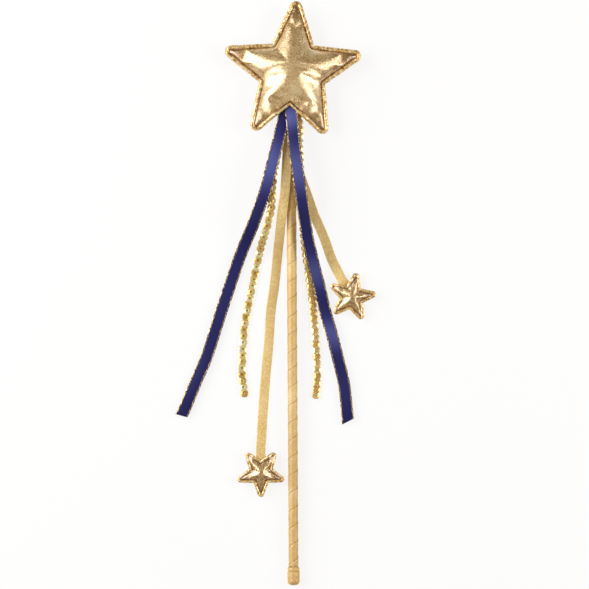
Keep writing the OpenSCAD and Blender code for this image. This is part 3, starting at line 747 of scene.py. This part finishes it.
def half_lobe(notch, tip, middle, radius, hand, steps):
    """Even points from a notch to the top of a tip's arc."""
    out = (tip - middle) / np.linalg.norm(tip - middle)
    centre = tip - out * radius
    touch = touch_point(notch, centre, radius, hand)
    first = math.atan2(*(touch - centre)[::-1])
    last = math.atan2(out[1], out[0])
    swing = (last - first + math.pi) % (2 * math.pi) - math.pi
    arc = [centre + radius * np.array((math.cos(first + swing * t), math.sin(first + swing * t)))
           for t in np.linspace(0, 1, ARC_STEPS)]
    edge = np.vstack([notch, arc])
    done = run_along(edge)
    return read_at(np.linspace(0, done[-1], steps + 1), done, edge)


class StarPlan:
    """A star's seam line, and the same line set in by some distance."""

    def __init__(self, middle, tips, notches, arc_r):
        self.middle, self.tips, self.notches, self.arc_r = middle, tips, notches, arc_r

    def set_in(self, distance):
        return StarPlan(self.middle, pull_in(self.tips, self.middle, distance),
                        pull_in(self.notches, self.middle, distance * NOTCH_SHARE),
                        max(LEAST_ARC_R, self.arc_r - distance))

    def lobes(self, steps):
        """For each tip, the half before it and the half after it, both from notch to tip."""
        for k, tip in enumerate(self.tips):
            yield (half_lobe(self.notches[k - 1], tip, self.middle, self.arc_r, -1, steps),
                   half_lobe(self.notches[k], tip, self.middle, self.arc_r, 1, steps))

    def outline(self, steps):
        """The line once round the star, back to its first point."""
        line = []
        for before, after in self.lobes(steps):
            line += list(before[:-1]) + list(after[:0:-1])
        return np.array(line + line[:1])


star_plan = StarPlan(STAR_MIDDLE, pull_in(STAR_TIPS, STAR_MIDDLE, PIPING_R),
                     pull_in(STAR_NOTCHES, STAR_MIDDLE, PIPING_R * NOTCH_SHARE), TIP_ARC_R)
OUTLINE_STEPS = 16
print("seam line of", round(length_of(star_plan.outline(OUTLINE_STEPS))), "mm")

# %% [markdown]
# A star splits into five kites, each from the middle out to one tip, with a notch on either side.
# A kite takes an even net of quads, blended from its four edges, which is the kind of net that
# cloth likes: no thin slivers and no crowding at the middle.

# %% Net of quads over a star


def star_net(plan, steps):
    """Points, quads and the numbers of the edge points, in order round the star."""
    points, numbers, faces, rim = [], {}, [], []

    def number(p):
        key = (round(p[0], 4), round(p[1], 4))
        if key not in numbers:
            numbers[key] = len(points)
            points.append(np.array(p))
        return numbers[key]

    t = np.linspace(0, 1, steps + 1)
    for before, after in plan.lobes(steps):
        o, a, b, top = plan.middle, before[0], after[0], before[-1]
        to_a, to_b = o + t[:, None] * (a - o), o + t[:, None] * (b - o)
        net = [[number((1 - v) * to_a[i] + v * after[i] + (1 - u) * to_b[j] + u * before[j]
                       - ((1 - u) * (1 - v) * o + u * (1 - v) * a + (1 - u) * v * b + u * v * top))
                for j, v in enumerate(t)] for i, u in enumerate(t)]
        faces += [(net[i][j], net[i + 1][j], net[i + 1][j + 1], net[i][j + 1])
                  for i in range(steps) for j in range(steps)]
        rim += [net[steps][j] for j in range(steps)] + [net[i][steps] for i in range(steps, 0, -1)]
    return np.array(points), faces, rim


STAR_STEPS = 22
PANEL_TUCK = 1.1
panel_points, panel_faces, panel_rim = star_net(star_plan.set_in(PANEL_TUCK), STAR_STEPS)
print("panel net:", len(panel_points), "points,", len(panel_faces), "quads")

# %% [markdown]
# Before the cloth is blown up, each panel starts as a smooth crown: low at the seam and full in
# the middle. Round the mouth the front lifts over the streamers, and the back drops under the
# rod. How far the front lifts is read from the CAD model's own box.

# %% Starting crown
STAR_SEAM_Z, STAR_CROWN = 11.4, 10.45
MOUTH_SPREAD = (13.0, 28.0)
# How steeply a crown rises from its seam, and how sharply it meets the lift round the mouth
CROWN_POWER, MEET_POWER = 0.52, 3
star_mouth = star_plan.notches[2]
# How far the seam lifts at the front of the mouth, and drops at its back
MOUTH_BACK_Z = 5.3
FRONT_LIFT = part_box("star_piping_cover")[1].z / MM - PIPING_R - STAR_SEAM_Z
BACK_DROP = STAR_SEAM_Z - MOUTH_BACK_Z
RASTER_MARGIN = 3


def gapes(points, mouth, spread):
    """How far a mouth is open at each point: 1 beside it, and 0 beyond its spread."""
    return np.array([1 - ease((np.linalg.norm(p - mouth) - spread[0]) / (spread[1] - spread[0]))
                     for p in points])


def fullness(points, plan, cell, rounds=3000):
    """How full a stuffed shape is at each point, from 0 at its seam to 1: a skin over a fine raster,
    pushed up evenly inside the outline and held down outside it."""
    line = plan.outline(OUTLINE_STEPS)
    low, high = line.min(axis=0) - RASTER_MARGIN, line.max(axis=0) + RASTER_MARGIN
    x, y = (np.arange(low[k], high[k], cell) for k in (0, 1))
    across, up = np.meshgrid(x, y, indexing="ij")
    inside = np.zeros(across.shape, dtype=bool)
    for (ax, ay), (bx, by) in zip(line, line[1:]):
        if ay != by:
            crossed = (ay > up) != (by > up)
            inside ^= crossed & (across < ax + (up - ay) * (bx - ax) / (by - ay))
    level = np.zeros(across.shape)
    for _ in range(rounds):
        beside = level[2:, 1:-1] + level[:-2, 1:-1] + level[1:-1, 2:] + level[1:-1, :-2]
        level[1:-1, 1:-1] = beside / 4 + 1
        level *= inside
    level /= level.max()
    spots = (np.array(points) - low) / cell
    corner = spots.astype(int)
    part = spots - corner
    i, j = corner[:, 0], corner[:, 1]
    u, v = part[:, 0], part[:, 1]
    return (level[i, j] * (1 - u) * (1 - v) + level[i + 1, j] * u * (1 - v)
            + level[i, j + 1] * (1 - u) * v + level[i + 1, j + 1] * u * v)


def crown(level, height, opened, lift):
    """How far a panel stands off the seam: by its fullness, and by the lift round the mouth."""
    return ((height * level ** CROWN_POWER) ** MEET_POWER
            + (lift * opened) ** MEET_POWER) ** (1 / MEET_POWER)


star_level = fullness(panel_points, star_plan.set_in(PANEL_TUCK), cell=0.8)
star_level[panel_rim] = 0
star_gape = gapes(panel_points, star_mouth, MOUTH_SPREAD)
star_start = crown(star_level, STAR_CROWN, star_gape, FRONT_LIFT)
print("front starts", round(star_start.max(), 1), "mm from the seam")

# %% [markdown]
# Stuffing presses outwards everywhere, so Blender's Cloth with pressure is the natural tool. The
# two panels are joined into one closed bag for it, because pressure needs an inside, and the seam
# is pinned. The cloth is also allowed to grow by a percent or two, and the spare cloth has to go
# somewhere: it buckles into the creases that a stuffed star shows along its seam. The bag is blown
# up at ten times its size, where the solver's default forces suit it, and then brought back.

# %% Blow up a bag
BAG_SCALE = 0.01
CLOTH_GROWTH = 0.015
TINY = 1e-6


def blow_up(points, faces, seam, pressure, frames, limit):
    """The points of a closed bag after its stuffing has pushed it out, in mm."""
    bag = make_mesh("bag", points * BAG_SCALE / MM, faces)
    pins = bag.vertex_groups.new(name="seam")
    pins.add([int(i) for i in seam], 1.0, "REPLACE")
    cloth = bag.modifiers.new("stuffed", "CLOTH")
    how = cloth.settings
    how.quality = 7
    how.mass = 0.2
    how.tension_stiffness = how.compression_stiffness = 25
    how.shear_stiffness = 10
    how.bending_stiffness = 2.0
    how.use_pressure = True
    how.uniform_pressure_force = pressure
    how.shrink_min = -CLOTH_GROWTH
    how.vertex_group_mass = "seam"
    how.effector_weights.gravity = 0
    cloth.collision_settings.use_collision = False
    cloth.point_cache.frame_end = frames
    for step in range(1, frames + 1):
        scene.frame_set(step)
    blown = bag.evaluated_get(bpy.context.evaluated_depsgraph_get())
    result = np.array([tuple(v.co) for v in blown.data.vertices]) / BAG_SCALE
    bpy.data.objects.remove(bag)
    scene.frame_set(1)
    moved = result - points
    far = np.linalg.norm(moved, axis=1)[:, None]
    return points + moved * np.minimum(1.0, limit / np.maximum(far, TINY))


def bag_faces(faces, rim, n):
    """Faces of a closed bag: the front, the back turned over, and a strip round the seam."""
    return ([tuple(f) for f in faces] + [tuple(n + i for i in f[::-1]) for f in faces]
            + [(i, n + i, n + j, j) for i, j in zip(rim, rim[1:] + rim[:1])])


def pillow(net, faces, rim, level, seam_z, height, opened, lifts, gap, **blowing):
    """Front and back points of a stuffed shape: joined at the rim, blown up, and parted again."""
    sides, n = [], len(net)
    for way, lift in zip((1, -1), lifts):
        rise = crown(level, height, opened, lift)
        rise[rim] = gap + lift * opened[rim]
        sides.append(np.column_stack([net, seam_z + way * rise]))
    points = np.vstack(sides)
    points = blow_up(points, bag_faces(faces, rim, n), rim + [n + i for i in rim], **blowing)
    return points[:n], points[n:]


SEAM_GAP = 0.25
star_front_points, star_back_points = pillow(
    panel_points, panel_faces, panel_rim, star_level, STAR_SEAM_Z, STAR_CROWN, star_gape,
    (FRONT_LIFT, BACK_DROP), SEAM_GAP, pressure=2.5, frames=24, limit=3.0)
print("front reaches", round(star_front_points[:, 2].max(), 1), "mm, back",
      round(star_back_points[:, 2].min(), 1), "mm")

# %% [markdown]
# Where two arms meet at a notch, the leatherette has more cloth than the bend needs, so it gathers
# into a few folds that run from notch to notch across the star, and into short ones beside the
# mouth. A simulation would put them somewhere else each time. Here every fold is a line drawn over
# the panel: the points near it sink into a soft valley, and the cloth rises a little beside it.

# %% Folds between the notches
# Each fold: its points seen from above, its depth and its half width in mm
STAR_FOLDS = [
    ([(-20, 159.5), (-12, 163), (-3.5, 164), (6, 164), (14.5, 162.5), (22.5, 158.5)], 0.75, 1.8),
    ([(-20, 156), (-11, 159), (-1, 160), (8, 159.5)], 0.3, 1.8),
    ([(14, 152.5), (19.5, 153.8), (25, 153)], 0.3, 1.4),
    ([(-21.5, 153.5), (-15.5, 151.5), (-9, 147)], 0.3, 1.8),
    ([(-17, 144), (-12.5, 140.5), (-7.5, 139)], 0.7, 1.6),
    ([(9, 131), (14, 134), (20, 136)], 0.6, 1.4),
    ([(2.5, 143), (8.5, 139), (12, 136.5)], 0.6, 1.8),
]
FOLD_STEP = 0.5
# The cloth beside a fold rises by this share of its depth, and folds fade out at this fullness
FOLD_RISE, FOLD_LEVEL = 0.5, 0.12
# The share of a fold's length that each end keeps level, and how slowly it fades towards its ends
FOLD_ENDS, FOLD_FADE = 0.02, 0.6


def fold_in(points, folds):
    """How far each point sinks (or rises, below zero) for the folds drawn over a panel."""
    sink = np.zeros(len(points))
    for line, depth, wide in folds:
        run = smooth_line(line, FOLD_STEP)
        gaps = np.linalg.norm(points[:, None, :2] - run[None], axis=2)
        nearest, away = gaps.argmin(axis=1), gaps.min(axis=1)
        place = np.clip(nearest / (len(run) - 1), FOLD_ENDS, 1 - FOLD_ENDS)
        strength = np.sin(math.pi * place) ** FOLD_FADE
        valley, beside = np.exp(-(away / wide) ** 2), np.exp(-((away - 2 * wide) / wide) ** 2)
        sink += depth * strength * (valley - FOLD_RISE * beside)
    return sink


folds_show = np.clip(star_level / FOLD_LEVEL, 0, 1)
star_front_points[:, 2] -= fold_in(star_front_points, STAR_FOLDS) * folds_show
print(len(STAR_FOLDS), "folds drawn into the front")

# %% [markdown]
# The blown-up points become two panels. A Solidify modifier gives the leatherette its thickness
# towards the inside, and one level of subdivision rounds the creases. The back is flattened
# where it lies on the table.

# %% Star panels
LEATHERETTE_T = 0.6
TABLE_GAP = 0.05


def stuffed_panel(name, points, faces, level, facing_up):
    points = np.array(points)
    points[:, 2] = np.maximum(points[:, 2], TABLE_GAP)
    panel = make_mesh(name, points, faces if facing_up else [f[::-1] for f in faces])
    paint_values(panel, level=level)
    thick = panel.modifiers.new("leatherette", "SOLIDIFY")
    thick.thickness = LEATHERETTE_T * MM
    thick.offset = -1
    soft = panel.modifiers.new("soft", "SUBSURF")
    soft.levels = soft.render_levels = 1
    return panel


star_front = stuffed_panel("star_front_leatherette", star_front_points, panel_faces, star_level,
                           facing_up=True)
star_back = stuffed_panel("star_back_leatherette", star_back_points, panel_faces, star_level,
                          facing_up=False)
print("star panels", [round(1000 * d, 1) for d in star_front.dimensions], "mm")

# %% [markdown]
# Gold leatherette is a foil laid on soft cloth. Up close it has a fine pebbled grain, with
# broader, softer dents, and the foil is rubbed browner in patches. Noise at three scales makes the
# pebbles, the dents and the wear. The fullness of the bag is painted on the panel, and the colour
# is darkened where the leatherette dives into the seam, as painted shade.

# %% Gold leatherette
def leatherette(name, light, middle, dark):
    finish = Finish(name, Metallic=0.62, Coat_Weight=0.9, Coat_IOR=2.5, Coat_Roughness=0.26)
    pebbles, grain = finish.noise(1000, 3, 0.6), finish.noise(3200, 2, 0.5)
    dents, wear = finish.noise(150, 3, 0.5), finish.noise(85, 5, 0.62)
    tone = finish.blend(wear, 0.4, pebbles, 0.6)
    foil = finish.ramp(tone, (0.38, *dark), (0.5, *middle), (0.62, *light))
    # Painted shade: the colour darkens towards the seam, by the fullness painted on the panel
    seam = finish.ramp("level", (0.0, 150, 118, 62), (0.1, 216, 200, 152), (0.24, *WHITE))
    finish.set("Base Color", finish.mix(1.0, foil, seam, "MULTIPLY"))
    finish.set("Roughness", finish.between(dents, 0.16, 0.36))
    skin = finish.bump(dents, 0.12, 0.5, finish.bump(finish.blend(pebbles, 1.0, grain, 0.5), 0.18, 0.9))
    finish.set("Normal", skin)
    finish.set("Coat Normal", skin)
    return finish


star_gold = leatherette("gold_leatherette", (252, 232, 182), (234, 196, 128), (176, 130, 66))
for panel, node in ((star_front, "star_front_panel"), (star_back, "star_back_panel")):
    star_gold.dress(panel, "gold_foil", "wand", node)
print("leatherette on both panels")

# %% [markdown]
# The piping is a strip of the same leatherette folded over a cord and caught in the seam. Going
# round the tips it bunches into small ribs, so the tube's radius wavers with fine noise, both along
# it and round it.

# %% Piping round the star
PIPING_STEP, PIPING_SIDES = 0.55, 14
CORD_R, CORD_SIDES = 0.8, 8
# A piping's mean share of its radius, its broad bunches (depth, fineness), and how fine its creases
# are along it and round it
MEAN_SHARE, BUNCH_DEPTH, BUNCH_FINE = 0.97, 0.05, 0.22
CREASE_FINE, CREASE_ROUND = 0.9, (1.3, 1.1)


def piping_line(plan, seam_z, lift, mouth, spread, step):
    flat = smooth_line(plan.outline(OUTLINE_STEPS), step)[:-1]
    return np.column_stack([flat, seam_z + lift * gapes(flat, mouth, spread)])


def piping(name, line, radius, rib, seed):
    """A tube with fine ribs, thinner where its strip is pulled tight."""
    radii = np.empty((len(line), PIPING_SIDES))
    for i, (x, y, _) in enumerate(line):
        bunch = field.noise(Vector((x * BUNCH_FINE, y * BUNCH_FINE, seed)))
        for k in range(PIPING_SIDES):
            a = 2 * math.pi * k / PIPING_SIDES
            round_it = CREASE_ROUND[0] * math.cos(a) + CREASE_ROUND[1] * math.sin(a)
            crease = field.noise(Vector((x * CREASE_FINE + seed, y * CREASE_FINE, round_it)))
            radii[i][k] = MEAN_SHARE + rib * crease + BUNCH_DEPTH * bunch
    return sweep_tube(name, line, radii * np.reshape(radius, (-1, 1)), PIPING_SIDES, closed=True)


star_seam_line = piping_line(star_plan, STAR_SEAM_Z, FRONT_LIFT, star_mouth, MOUTH_SPREAD, PIPING_STEP)
# The strip is pulled flat where the mouth folds in
FLAT_SHARE, FLAT_SPREAD = 0.4, (4, 16)
folded = 1 - FLAT_SHARE * gapes(star_seam_line[:, :2], star_mouth, FLAT_SPREAD)
star_seam_line[:, 1] -= PIPING_R * (1 - folded)
star_piping = piping("star_piping_cover_crinkled", star_seam_line, PIPING_R * folded,
                     rib=0.12, seed=3.0)
star_cord = sweep_tube("star_piping_cord_twisted", star_seam_line[::3], CORD_R, CORD_SIDES, closed=True)
print("piping of", round(length_of(star_seam_line)), "mm")

# %% [markdown]
# On the piping the foil is crinkled by the tight fold. The fine noise that makes its bumps also sets
# most of its colour: brown in the hollows, as painted shade, and near-white on the ridges, as painted
# highlight. Inside it lies a plain twisted cord.

# %% Crinkled foil and cord
piping_gold = Finish("gold_piping_foil", Metallic=0.55, Roughness=0.33)
crinkle_height, pinches = piping_gold.noise(760, 2, 0.6), piping_gold.noise(380, 2, 0.5)
# Painted shade and highlight: brown where the crinkles are low, near-white on their ridges
piping_gold.set("Base Color", piping_gold.ramp(
    piping_gold.blend(crinkle_height, 0.6, pinches, 0.4),
    (0.36, 160, 108, 50), (0.5, 244, 204, 128), (0.64, 255, 248, 222)))
piping_gold.set("Normal", piping_gold.bump(crinkle_height, 0.16, 0.8))
piping_gold.dress(star_piping, "gold_piping", "wand", "star_piping_cover")
cotton = Finish("cotton_cord", Roughness=0.9, Sheen_Weight=0.3)
lay = cotton.math("SINE", cotton.blend("along", 2.4, "around", 4 * math.pi))
cotton.relief(lay, 0.15, (0.0, 205, 198, 182), (1.0, 240, 236, 226))
cotton.dress(star_cord, "piping_cord", "wand", "star_piping_cord")
print("piping foil and cord set")

# %% [markdown]
# Fibre stuffing fills the star and stops short of the mouth. It only shows through the mouth from
# low down, as white fluff, so it takes the shape of the bag, a little smaller, with soft lumps.

# %% Stuffing of the star
# The depth and size of the lumps, and how much smaller the fill is than its bag, seen from above
LUMP_DEPTH, LUMP_SCALE, FILL_SHARE = 0.35, 0.35, 0.95
# The least share of the bag's thickness that the fill keeps, and its least thickness in mm
LEAST_SHARE, LEAST_FILL = 0.02, 0.05
# The fill is whole again at this many times the mouth's radius, and a bag counts as at least so thick
MOUTH_FADE, LEAST_BAG = 2.2, 0.1


def stuffing(name, front, back, faces, rim, mouth, mouth_r, wall):
    """A lumpy fill inside a bag, held back from its mouth."""
    middle = (front + back) / 2
    thick = np.linalg.norm(front - back, axis=1)
    back_off = 1 - gapes(front[:, :2], mouth, (mouth_r, MOUTH_FADE * mouth_r))
    share = (np.maximum(LEAST_SHARE, 1 - 2 * wall / np.maximum(thick, LEAST_BAG))
             * np.maximum(LEAST_SHARE, back_off))[:, None]
    lump = [LUMP_DEPTH * abs(field.noise(Vector(p) * LUMP_SCALE)) for p in front]
    top, low = middle + (front - middle) * share, middle + (back - middle) * share
    top[:, 2] -= lump
    low[:, 2] = np.minimum(low[:, 2] + lump, top[:, 2] - LEAST_FILL)
    centre = middle.mean(axis=0)[:2]
    points = np.vstack([top, low])
    points[:, :2] = centre + (points[:, :2] - centre) * FILL_SHARE
    return make_mesh(name, points, bag_faces(faces, rim, len(front)))


star_fill = stuffing("star_stuffing_fibre", star_front_points, star_back_points, panel_faces,
                     panel_rim, star_mouth, mouth_r=16.0, wall=1.6)
fibre = Finish("fibre_stuffing", Roughness=1.0, Sheen_Weight=0.5)
strands = fibre.noise(700, 5, 0.7, stretch=(1, 0.3, 1))
fibre.relief(strands, 0.4, (0.3, 214, 208, 194), (0.6, 246, 243, 236))
fibre.dress(star_fill, "stuffing", "wand", "star_stuffing")
print("stuffing", [round(1000 * d, 1) for d in star_fill.dimensions], "mm")

# %% [markdown]
# The rod is wound with one gold ribbon from the tip up into the star. Each turn covers the edge
# of the turn below, which leaves a fine slanted line. A strip is wound for real here: it is laid
# round the rod in small steps, and its upper edge stands a ribbon's thickness further out than
# its lower edge, so that every turn laps over the next.

# %% Rod axis
ROD_MOUTH_Y, ROD_MOUTH_Z, ROD_LENGTH = 136.2, 8.8, 349.5


def radius_of(node):
    low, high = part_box(node)
    return (high.x - low.x) / 2 / MM


ROD_R, TIP_R, BAND_R = radius_of("wand_rod"), radius_of("tip_cover"), radius_of("tip_band")
# How far from its end the tip cover touches the table
TIP_RESTS = 3
rod_slope = (ROD_MOUTH_Z - TIP_R) / (ROD_LENGTH - TIP_RESTS)
rod_way = np.array((0, 1, rod_slope)) / math.hypot(1, rod_slope)
rod_up = np.array((0, -rod_slope, 1)) / math.hypot(1, rod_slope)
tip_end = np.array((0, ROD_MOUTH_Y, ROD_MOUTH_Z)) - rod_way * ROD_LENGTH


def on_rod(along, out, turn):
    """A point by its distance from the tip, its distance from the axis and its turn from the top."""
    outward = rod_up * math.cos(turn) + np.array((math.sin(turn), 0, 0))
    return tip_end + rod_way * along + out * outward


print("rod radius", round(ROD_R, 2), "tip at", [round(x, 2) for x in tip_end])

# %% Wound ribbon
WRAP_PITCH, WRAP_LAP = 12.85, 1.1
WRAP_START, WRAP_END = 13.6, ROD_LENGTH + 2.5
WRAP_T, WRAP_GAP, WRAP_WAVER = 0.18, 0.08, 0.12
TURN_STEPS, WIDTH_STEPS = 40, 9
WRAP_PHASE = 0.21
WAVER_RATE, WAVER_SEED = 0.7, 4.0
# Over which share of its width a turn rises onto the next, and by how much of its thickness
LAP_FROM, LAP_WIDE, LAP_RISE = 0.05, 0.9, 0.95


def wound_ribbon(name):
    width = WRAP_PITCH + WRAP_LAP
    turns = (WRAP_END - WRAP_START) / WRAP_PITCH
    points = []
    # The first and the last turn start and end under the pieces beside them
    stations = range(-TURN_STEPS, int((turns + 1) * TURN_STEPS))
    shares = [k / (WIDTH_STEPS - 1) for k in range(WIDTH_STEPS)]
    section = [(share, WRAP_T) for share in shares] + [(share, 0) for share in shares[::-1]]
    for i in stations:
        turn = 2 * math.pi * (i / TURN_STEPS + WRAP_PHASE)
        base = WRAP_START + WRAP_PITCH * i / TURN_STEPS - width / 2
        for share, thick in section:
            waver = WRAP_WAVER * field.noise(Vector((turn * WAVER_RATE, share, WAVER_SEED)))
            lap = WRAP_T * LAP_RISE * ease((share - LAP_FROM) / LAP_WIDE)
            out = ROD_R + WRAP_GAP + lap + thick
            where = min(max(base + share * width + waver, WRAP_START), WRAP_END)
            points.append(on_rod(where, out, turn))
    strip = make_mesh(name, points, tube_faces(len(stations), len(section)))
    paint_values(strip, across=[share for share, _ in section] * len(stations))
    return strip


rod_wrap = wound_ribbon("rod_wrap_wound")
print("wound ribbon:", round((WRAP_END - WRAP_START) / WRAP_PITCH, 1), "turns")

# %% [markdown]
# The wound ribbon is gold satin with a fine cross grain. Where each turn laps over the next, the
# colour along both edges of the turn is darkened as painted shade.

# %% Gold satin
wrap_satin = Finish("gold_wrap_satin", Metallic=0.22, Specular_IOR_Level=0.3)
threads, blush = wrap_satin.noise(500, 3, 0.6, stretch=(1, 6, 1)), wrap_satin.noise(45, 3)
cloth_tone = wrap_satin.ramp(wrap_satin.blend(threads, 0.55, blush, 0.45), (0.3, 194, 150, 88),
                             (0.52, 219, 187, 125), (0.75, 246, 224, 170))
# Painted shade: the colour darkens along both edges of every turn, where the turns lap
seam_line = wrap_satin.ramp("across", (0.0, 190, 140, 84), (0.1, *WHITE), (0.97, *WHITE),
                            (1.0, 196, 146, 90))
wrap_satin.set("Base Color", wrap_satin.mix(1.0, cloth_tone, seam_line, "MULTIPLY"))
wrap_satin.set("Roughness", wrap_satin.between(blush, 0.46, 0.58))
wrap_satin.set("Normal", wrap_satin.bump(threads, 0.05))
wrap_satin.dress(rod_wrap, "gold_wrap", "wand", "rod_wrap")
print("satin on the rod")

# %% [markdown]
# At the tip the ribbon's end is hidden under a rounded cover and a band. Both are turned shapes,
# drawn as a profile and spun about the rod's axis. A soft fold line runs round the cover where
# its satin is gathered.

# %% Tip cover and band
SPIN_STEPS = 48
# The depth of the puckers, how many there are round and along, and the radius where they reach it
PUCKER, PUCKERS, PUCKERS_ALONG, PUCKER_R = 0.05, 3.5, 0.5, 3
AXIS_R = 0.01


def spun(name, profile):
    """A shape turned about the rod: profile points are (distance from the tip, radius)."""
    points = []
    for along, out in profile:
        for k in range(SPIN_STEPS):
            turn = 2 * math.pi * k / SPIN_STEPS
            spot = Vector((PUCKERS * math.cos(turn), PUCKERS * math.sin(turn), along * PUCKERS_ALONG))
            pucker = PUCKER * field.noise(spot)
            points.append(on_rod(along, max(AXIS_R, out + pucker * min(1, out / PUCKER_R)), turn))
    return make_mesh(name, points, tube_faces(len(profile), SPIN_STEPS, closed=True))


TIP_LENGTH, TIP_ROUND, BAND_W = 9.8, 3.0, 3.2
dome = [(0.02, 0.4)] + [(TIP_ROUND * (1 - math.sin(a)), TIP_R - TIP_ROUND + TIP_ROUND * math.cos(a))
                        for a in np.linspace(math.pi / 2, 0, 8)]
cover_profile = dome + [(4.4, TIP_R), (4.9, TIP_R - 0.06), (5.3, TIP_R - 0.02), (8.9, TIP_R),
                        (9.6, TIP_R - 0.06), (TIP_LENGTH, TIP_R - 0.2), (TIP_LENGTH, ROD_R + 0.02),
                        (3.4, ROD_R + 0.02), (3.0, ROD_R - 1), (2.6, 0.4)]
tip_cover = spun("tip_cover_gathered", cover_profile)
band_from = TIP_LENGTH + 0.08
band_profile = [(band_from, ROD_R + 0.05), (band_from, BAND_R - 0.15),
                (band_from + 0.3, BAND_R - 0.03), (band_from + BAND_W / 2, BAND_R),
                (band_from + BAND_W - 0.3, BAND_R - 0.05), (band_from + BAND_W, BAND_R - 0.35),
                (band_from + BAND_W, ROD_R + 0.05)]
tip_band = spun("tip_band_satin", band_profile)
tip_satin = Finish("gold_tip_satin", Metallic=0.22, Roughness=0.48, Specular_IOR_Level=0.3)
weft = tip_satin.noise(620, 3, 0.6, stretch=(6, 1, 1))
tip_satin.relief(weft, 0.05, (0.3, 194, 144, 78), (0.5, 219, 180, 112), (0.72, 242, 212, 150))
tip_satin.dress(tip_cover, "gold_tip", "wand", "tip_cover")
tip_satin.dress(tip_band, "gold_tip", "wand", "tip_band")
print("tip cover", round(2 * TIP_R, 1), "mm and band", round(2 * BAND_R, 1), "mm across")

# %% [markdown]
# A charm is the big star in small: two panels, a broad piped rim, a ribbon sewn into one notch.
# The same net, crown and bag are used again, so only the sizes and the turn are new. The charm's
# rim is wide for its size, and its middle is a tight cushion.

# %% Star charms
CHARM_TIP_R, CHARM_NOTCH_R, CHARM_ARC_R = 16.8, 8.0, 1.4
CHARM_PIPING_R, CHARM_H = 1.1, 3.6
CHARM_STEPS = 12
CHARM_SPREAD = (5.5, 10.5)
CHARM_LIFT, CHARM_DROP = 1.6, 0.5
CHARM_TUCK, CHARM_RIM, CHARM_GAP = 0.6, 1.7, 0.2
CHARM_ARMS = 5
CHARM_SEEDS = {"left": 5.0, "right": 8.0}


def charm_plan(ribbon_end, turn):
    """A regular star whose lowest notch, after the turn, takes the ribbon's end."""
    def ray(degrees, length):
        a = math.radians(degrees + turn)
        return length * np.array((math.cos(a), math.sin(a)))

    middle = np.array(ribbon_end) - ray(-90, CHARM_NOTCH_R)
    arms = [90 + k * 360 / CHARM_ARMS for k in range(CHARM_ARMS)]
    tips = [middle + ray(arm, CHARM_TIP_R) for arm in arms]
    notches = [middle + ray(arm + 180 / CHARM_ARMS, CHARM_NOTCH_R) for arm in arms]
    return StarPlan(middle, tips, notches, CHARM_ARC_R)


def make_charm(side, ribbon_end, turn):
    plan = charm_plan(ribbon_end, turn)
    mouth = np.array(ribbon_end)
    net, faces, rim = star_net(plan.set_in(CHARM_TUCK), CHARM_STEPS)
    level = fullness(net, plan.set_in(CHARM_RIM), cell=0.3)
    level[rim] = 0
    opened = gapes(net, mouth, CHARM_SPREAD)
    front, back = pillow(net, faces, rim, level, CHARM_SEAM_Z, CHARM_H, opened,
                         (CHARM_LIFT, CHARM_DROP), CHARM_GAP, pressure=2.0, frames=18, limit=1.0)
    # Outside the cushion the two panels are pressed flat and form the bottom of the groove
    flat = level < TINY
    front[flat] = np.column_stack([net, CHARM_SEAM_Z + CHARM_GAP + CHARM_LIFT * opened])[flat]
    back[flat] = np.column_stack([net, CHARM_SEAM_Z - CHARM_GAP - CHARM_DROP * opened])[flat]
    seam_line = piping_line(plan, CHARM_SEAM_Z, CHARM_LIFT, mouth, CHARM_SPREAD, step=0.45)
    return {
        "front": stuffed_panel(f"charm_{side}_front_leatherette", front, faces, level, facing_up=True),
        "back": stuffed_panel(f"charm_{side}_back_leatherette", back, faces, level, facing_up=False),
        "stuffing": stuffing(f"charm_{side}_stuffing_fibre", front, back, faces, rim, mouth,
                             mouth_r=6.5, wall=1.1),
        "piping": piping(f"charm_{side}_piping_crinkled", seam_line, CHARM_PIPING_R,
                         rib=0.08, seed=CHARM_SEEDS[side]),
    }


charm_left = make_charm("left", GOLD_LEFT[-1], turn=180)
charm_right = make_charm("right", GOLD_RIGHT[-1], turn=204.5)
print("two charms of", len(charm_left["front"].data.vertices), "points a panel")

# %% [markdown]
# The charms are cut from the same kind of leatherette as the star, in a browner gold. Their rims
# are the star's own piping foil, and their fill is the same fibre.

# %% Charm foil
charm_gold = leatherette("brown_gold_leatherette", (248, 224, 168), (218, 176, 106), (140, 98, 48))
for side, charm in (("left", charm_left), ("right", charm_right)):
    for part, finish, slot in (("front", charm_gold, "gold_foil"), ("back", charm_gold, "gold_foil"),
                               ("stuffing", fibre, "stuffing"), ("piping", piping_gold, "gold_piping")):
        finish.dress(charm[part], slot, f"charm_{side}", f"charm_{side}_{part}")
print("charm finishes set")

# %% [markdown]
# A few pieces of the CAD model are rigid and right as they are: the wooden rod inside its
# ribbon, the glue that holds it in the star, and the thread tacks. They only need a finish.

# %% Wood, glue and tacks
wood = Finish("pale_rod_wood", Roughness=0.6)
wood.relief(wood.noise(160, 4, 0.6, stretch=(1, 0.05, 1)), 0.1,
            (0.3, 186, 150, 102), (0.6, 222, 192, 146))
glue = Finish("amber_glue", Roughness=0.25, Transmission_Weight=0.2, IOR=1.48)
glue.relief(glue.noise(400, 2), 0.1, (0.3, 206, 172, 108), (0.7, 232, 208, 150))
tack = Finish("tack_thread", Roughness=0.6, Sheen_Weight=0.3)
tack.relief(tack.noise(900, 2, 0.5, stretch=(0.2, 0.2, 1)), 0.1,
            (0.35, 176, 118, 48), (0.65, 232, 180, 92))
wood.dress(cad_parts["wand_rod"], "rod_wood")
glue.dress(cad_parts["rod_glue"], "glue")
tacks = ("ribbon_tack", "charm_left_tack", "charm_right_tack")
for node in tacks:
    tack.dress(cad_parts[node], "gold_thread")
print("finishes on", 2 + len(tacks), "CAD nodes")

# %% [markdown]
# The streamers are flat cords, limp, loose on the table, each as long as the photograph shows
# from end to end. The gold ones end in their charms, and the others are simply cut off.


# A strand is measured from its first cup to its last
sewn = slice(5, -2)
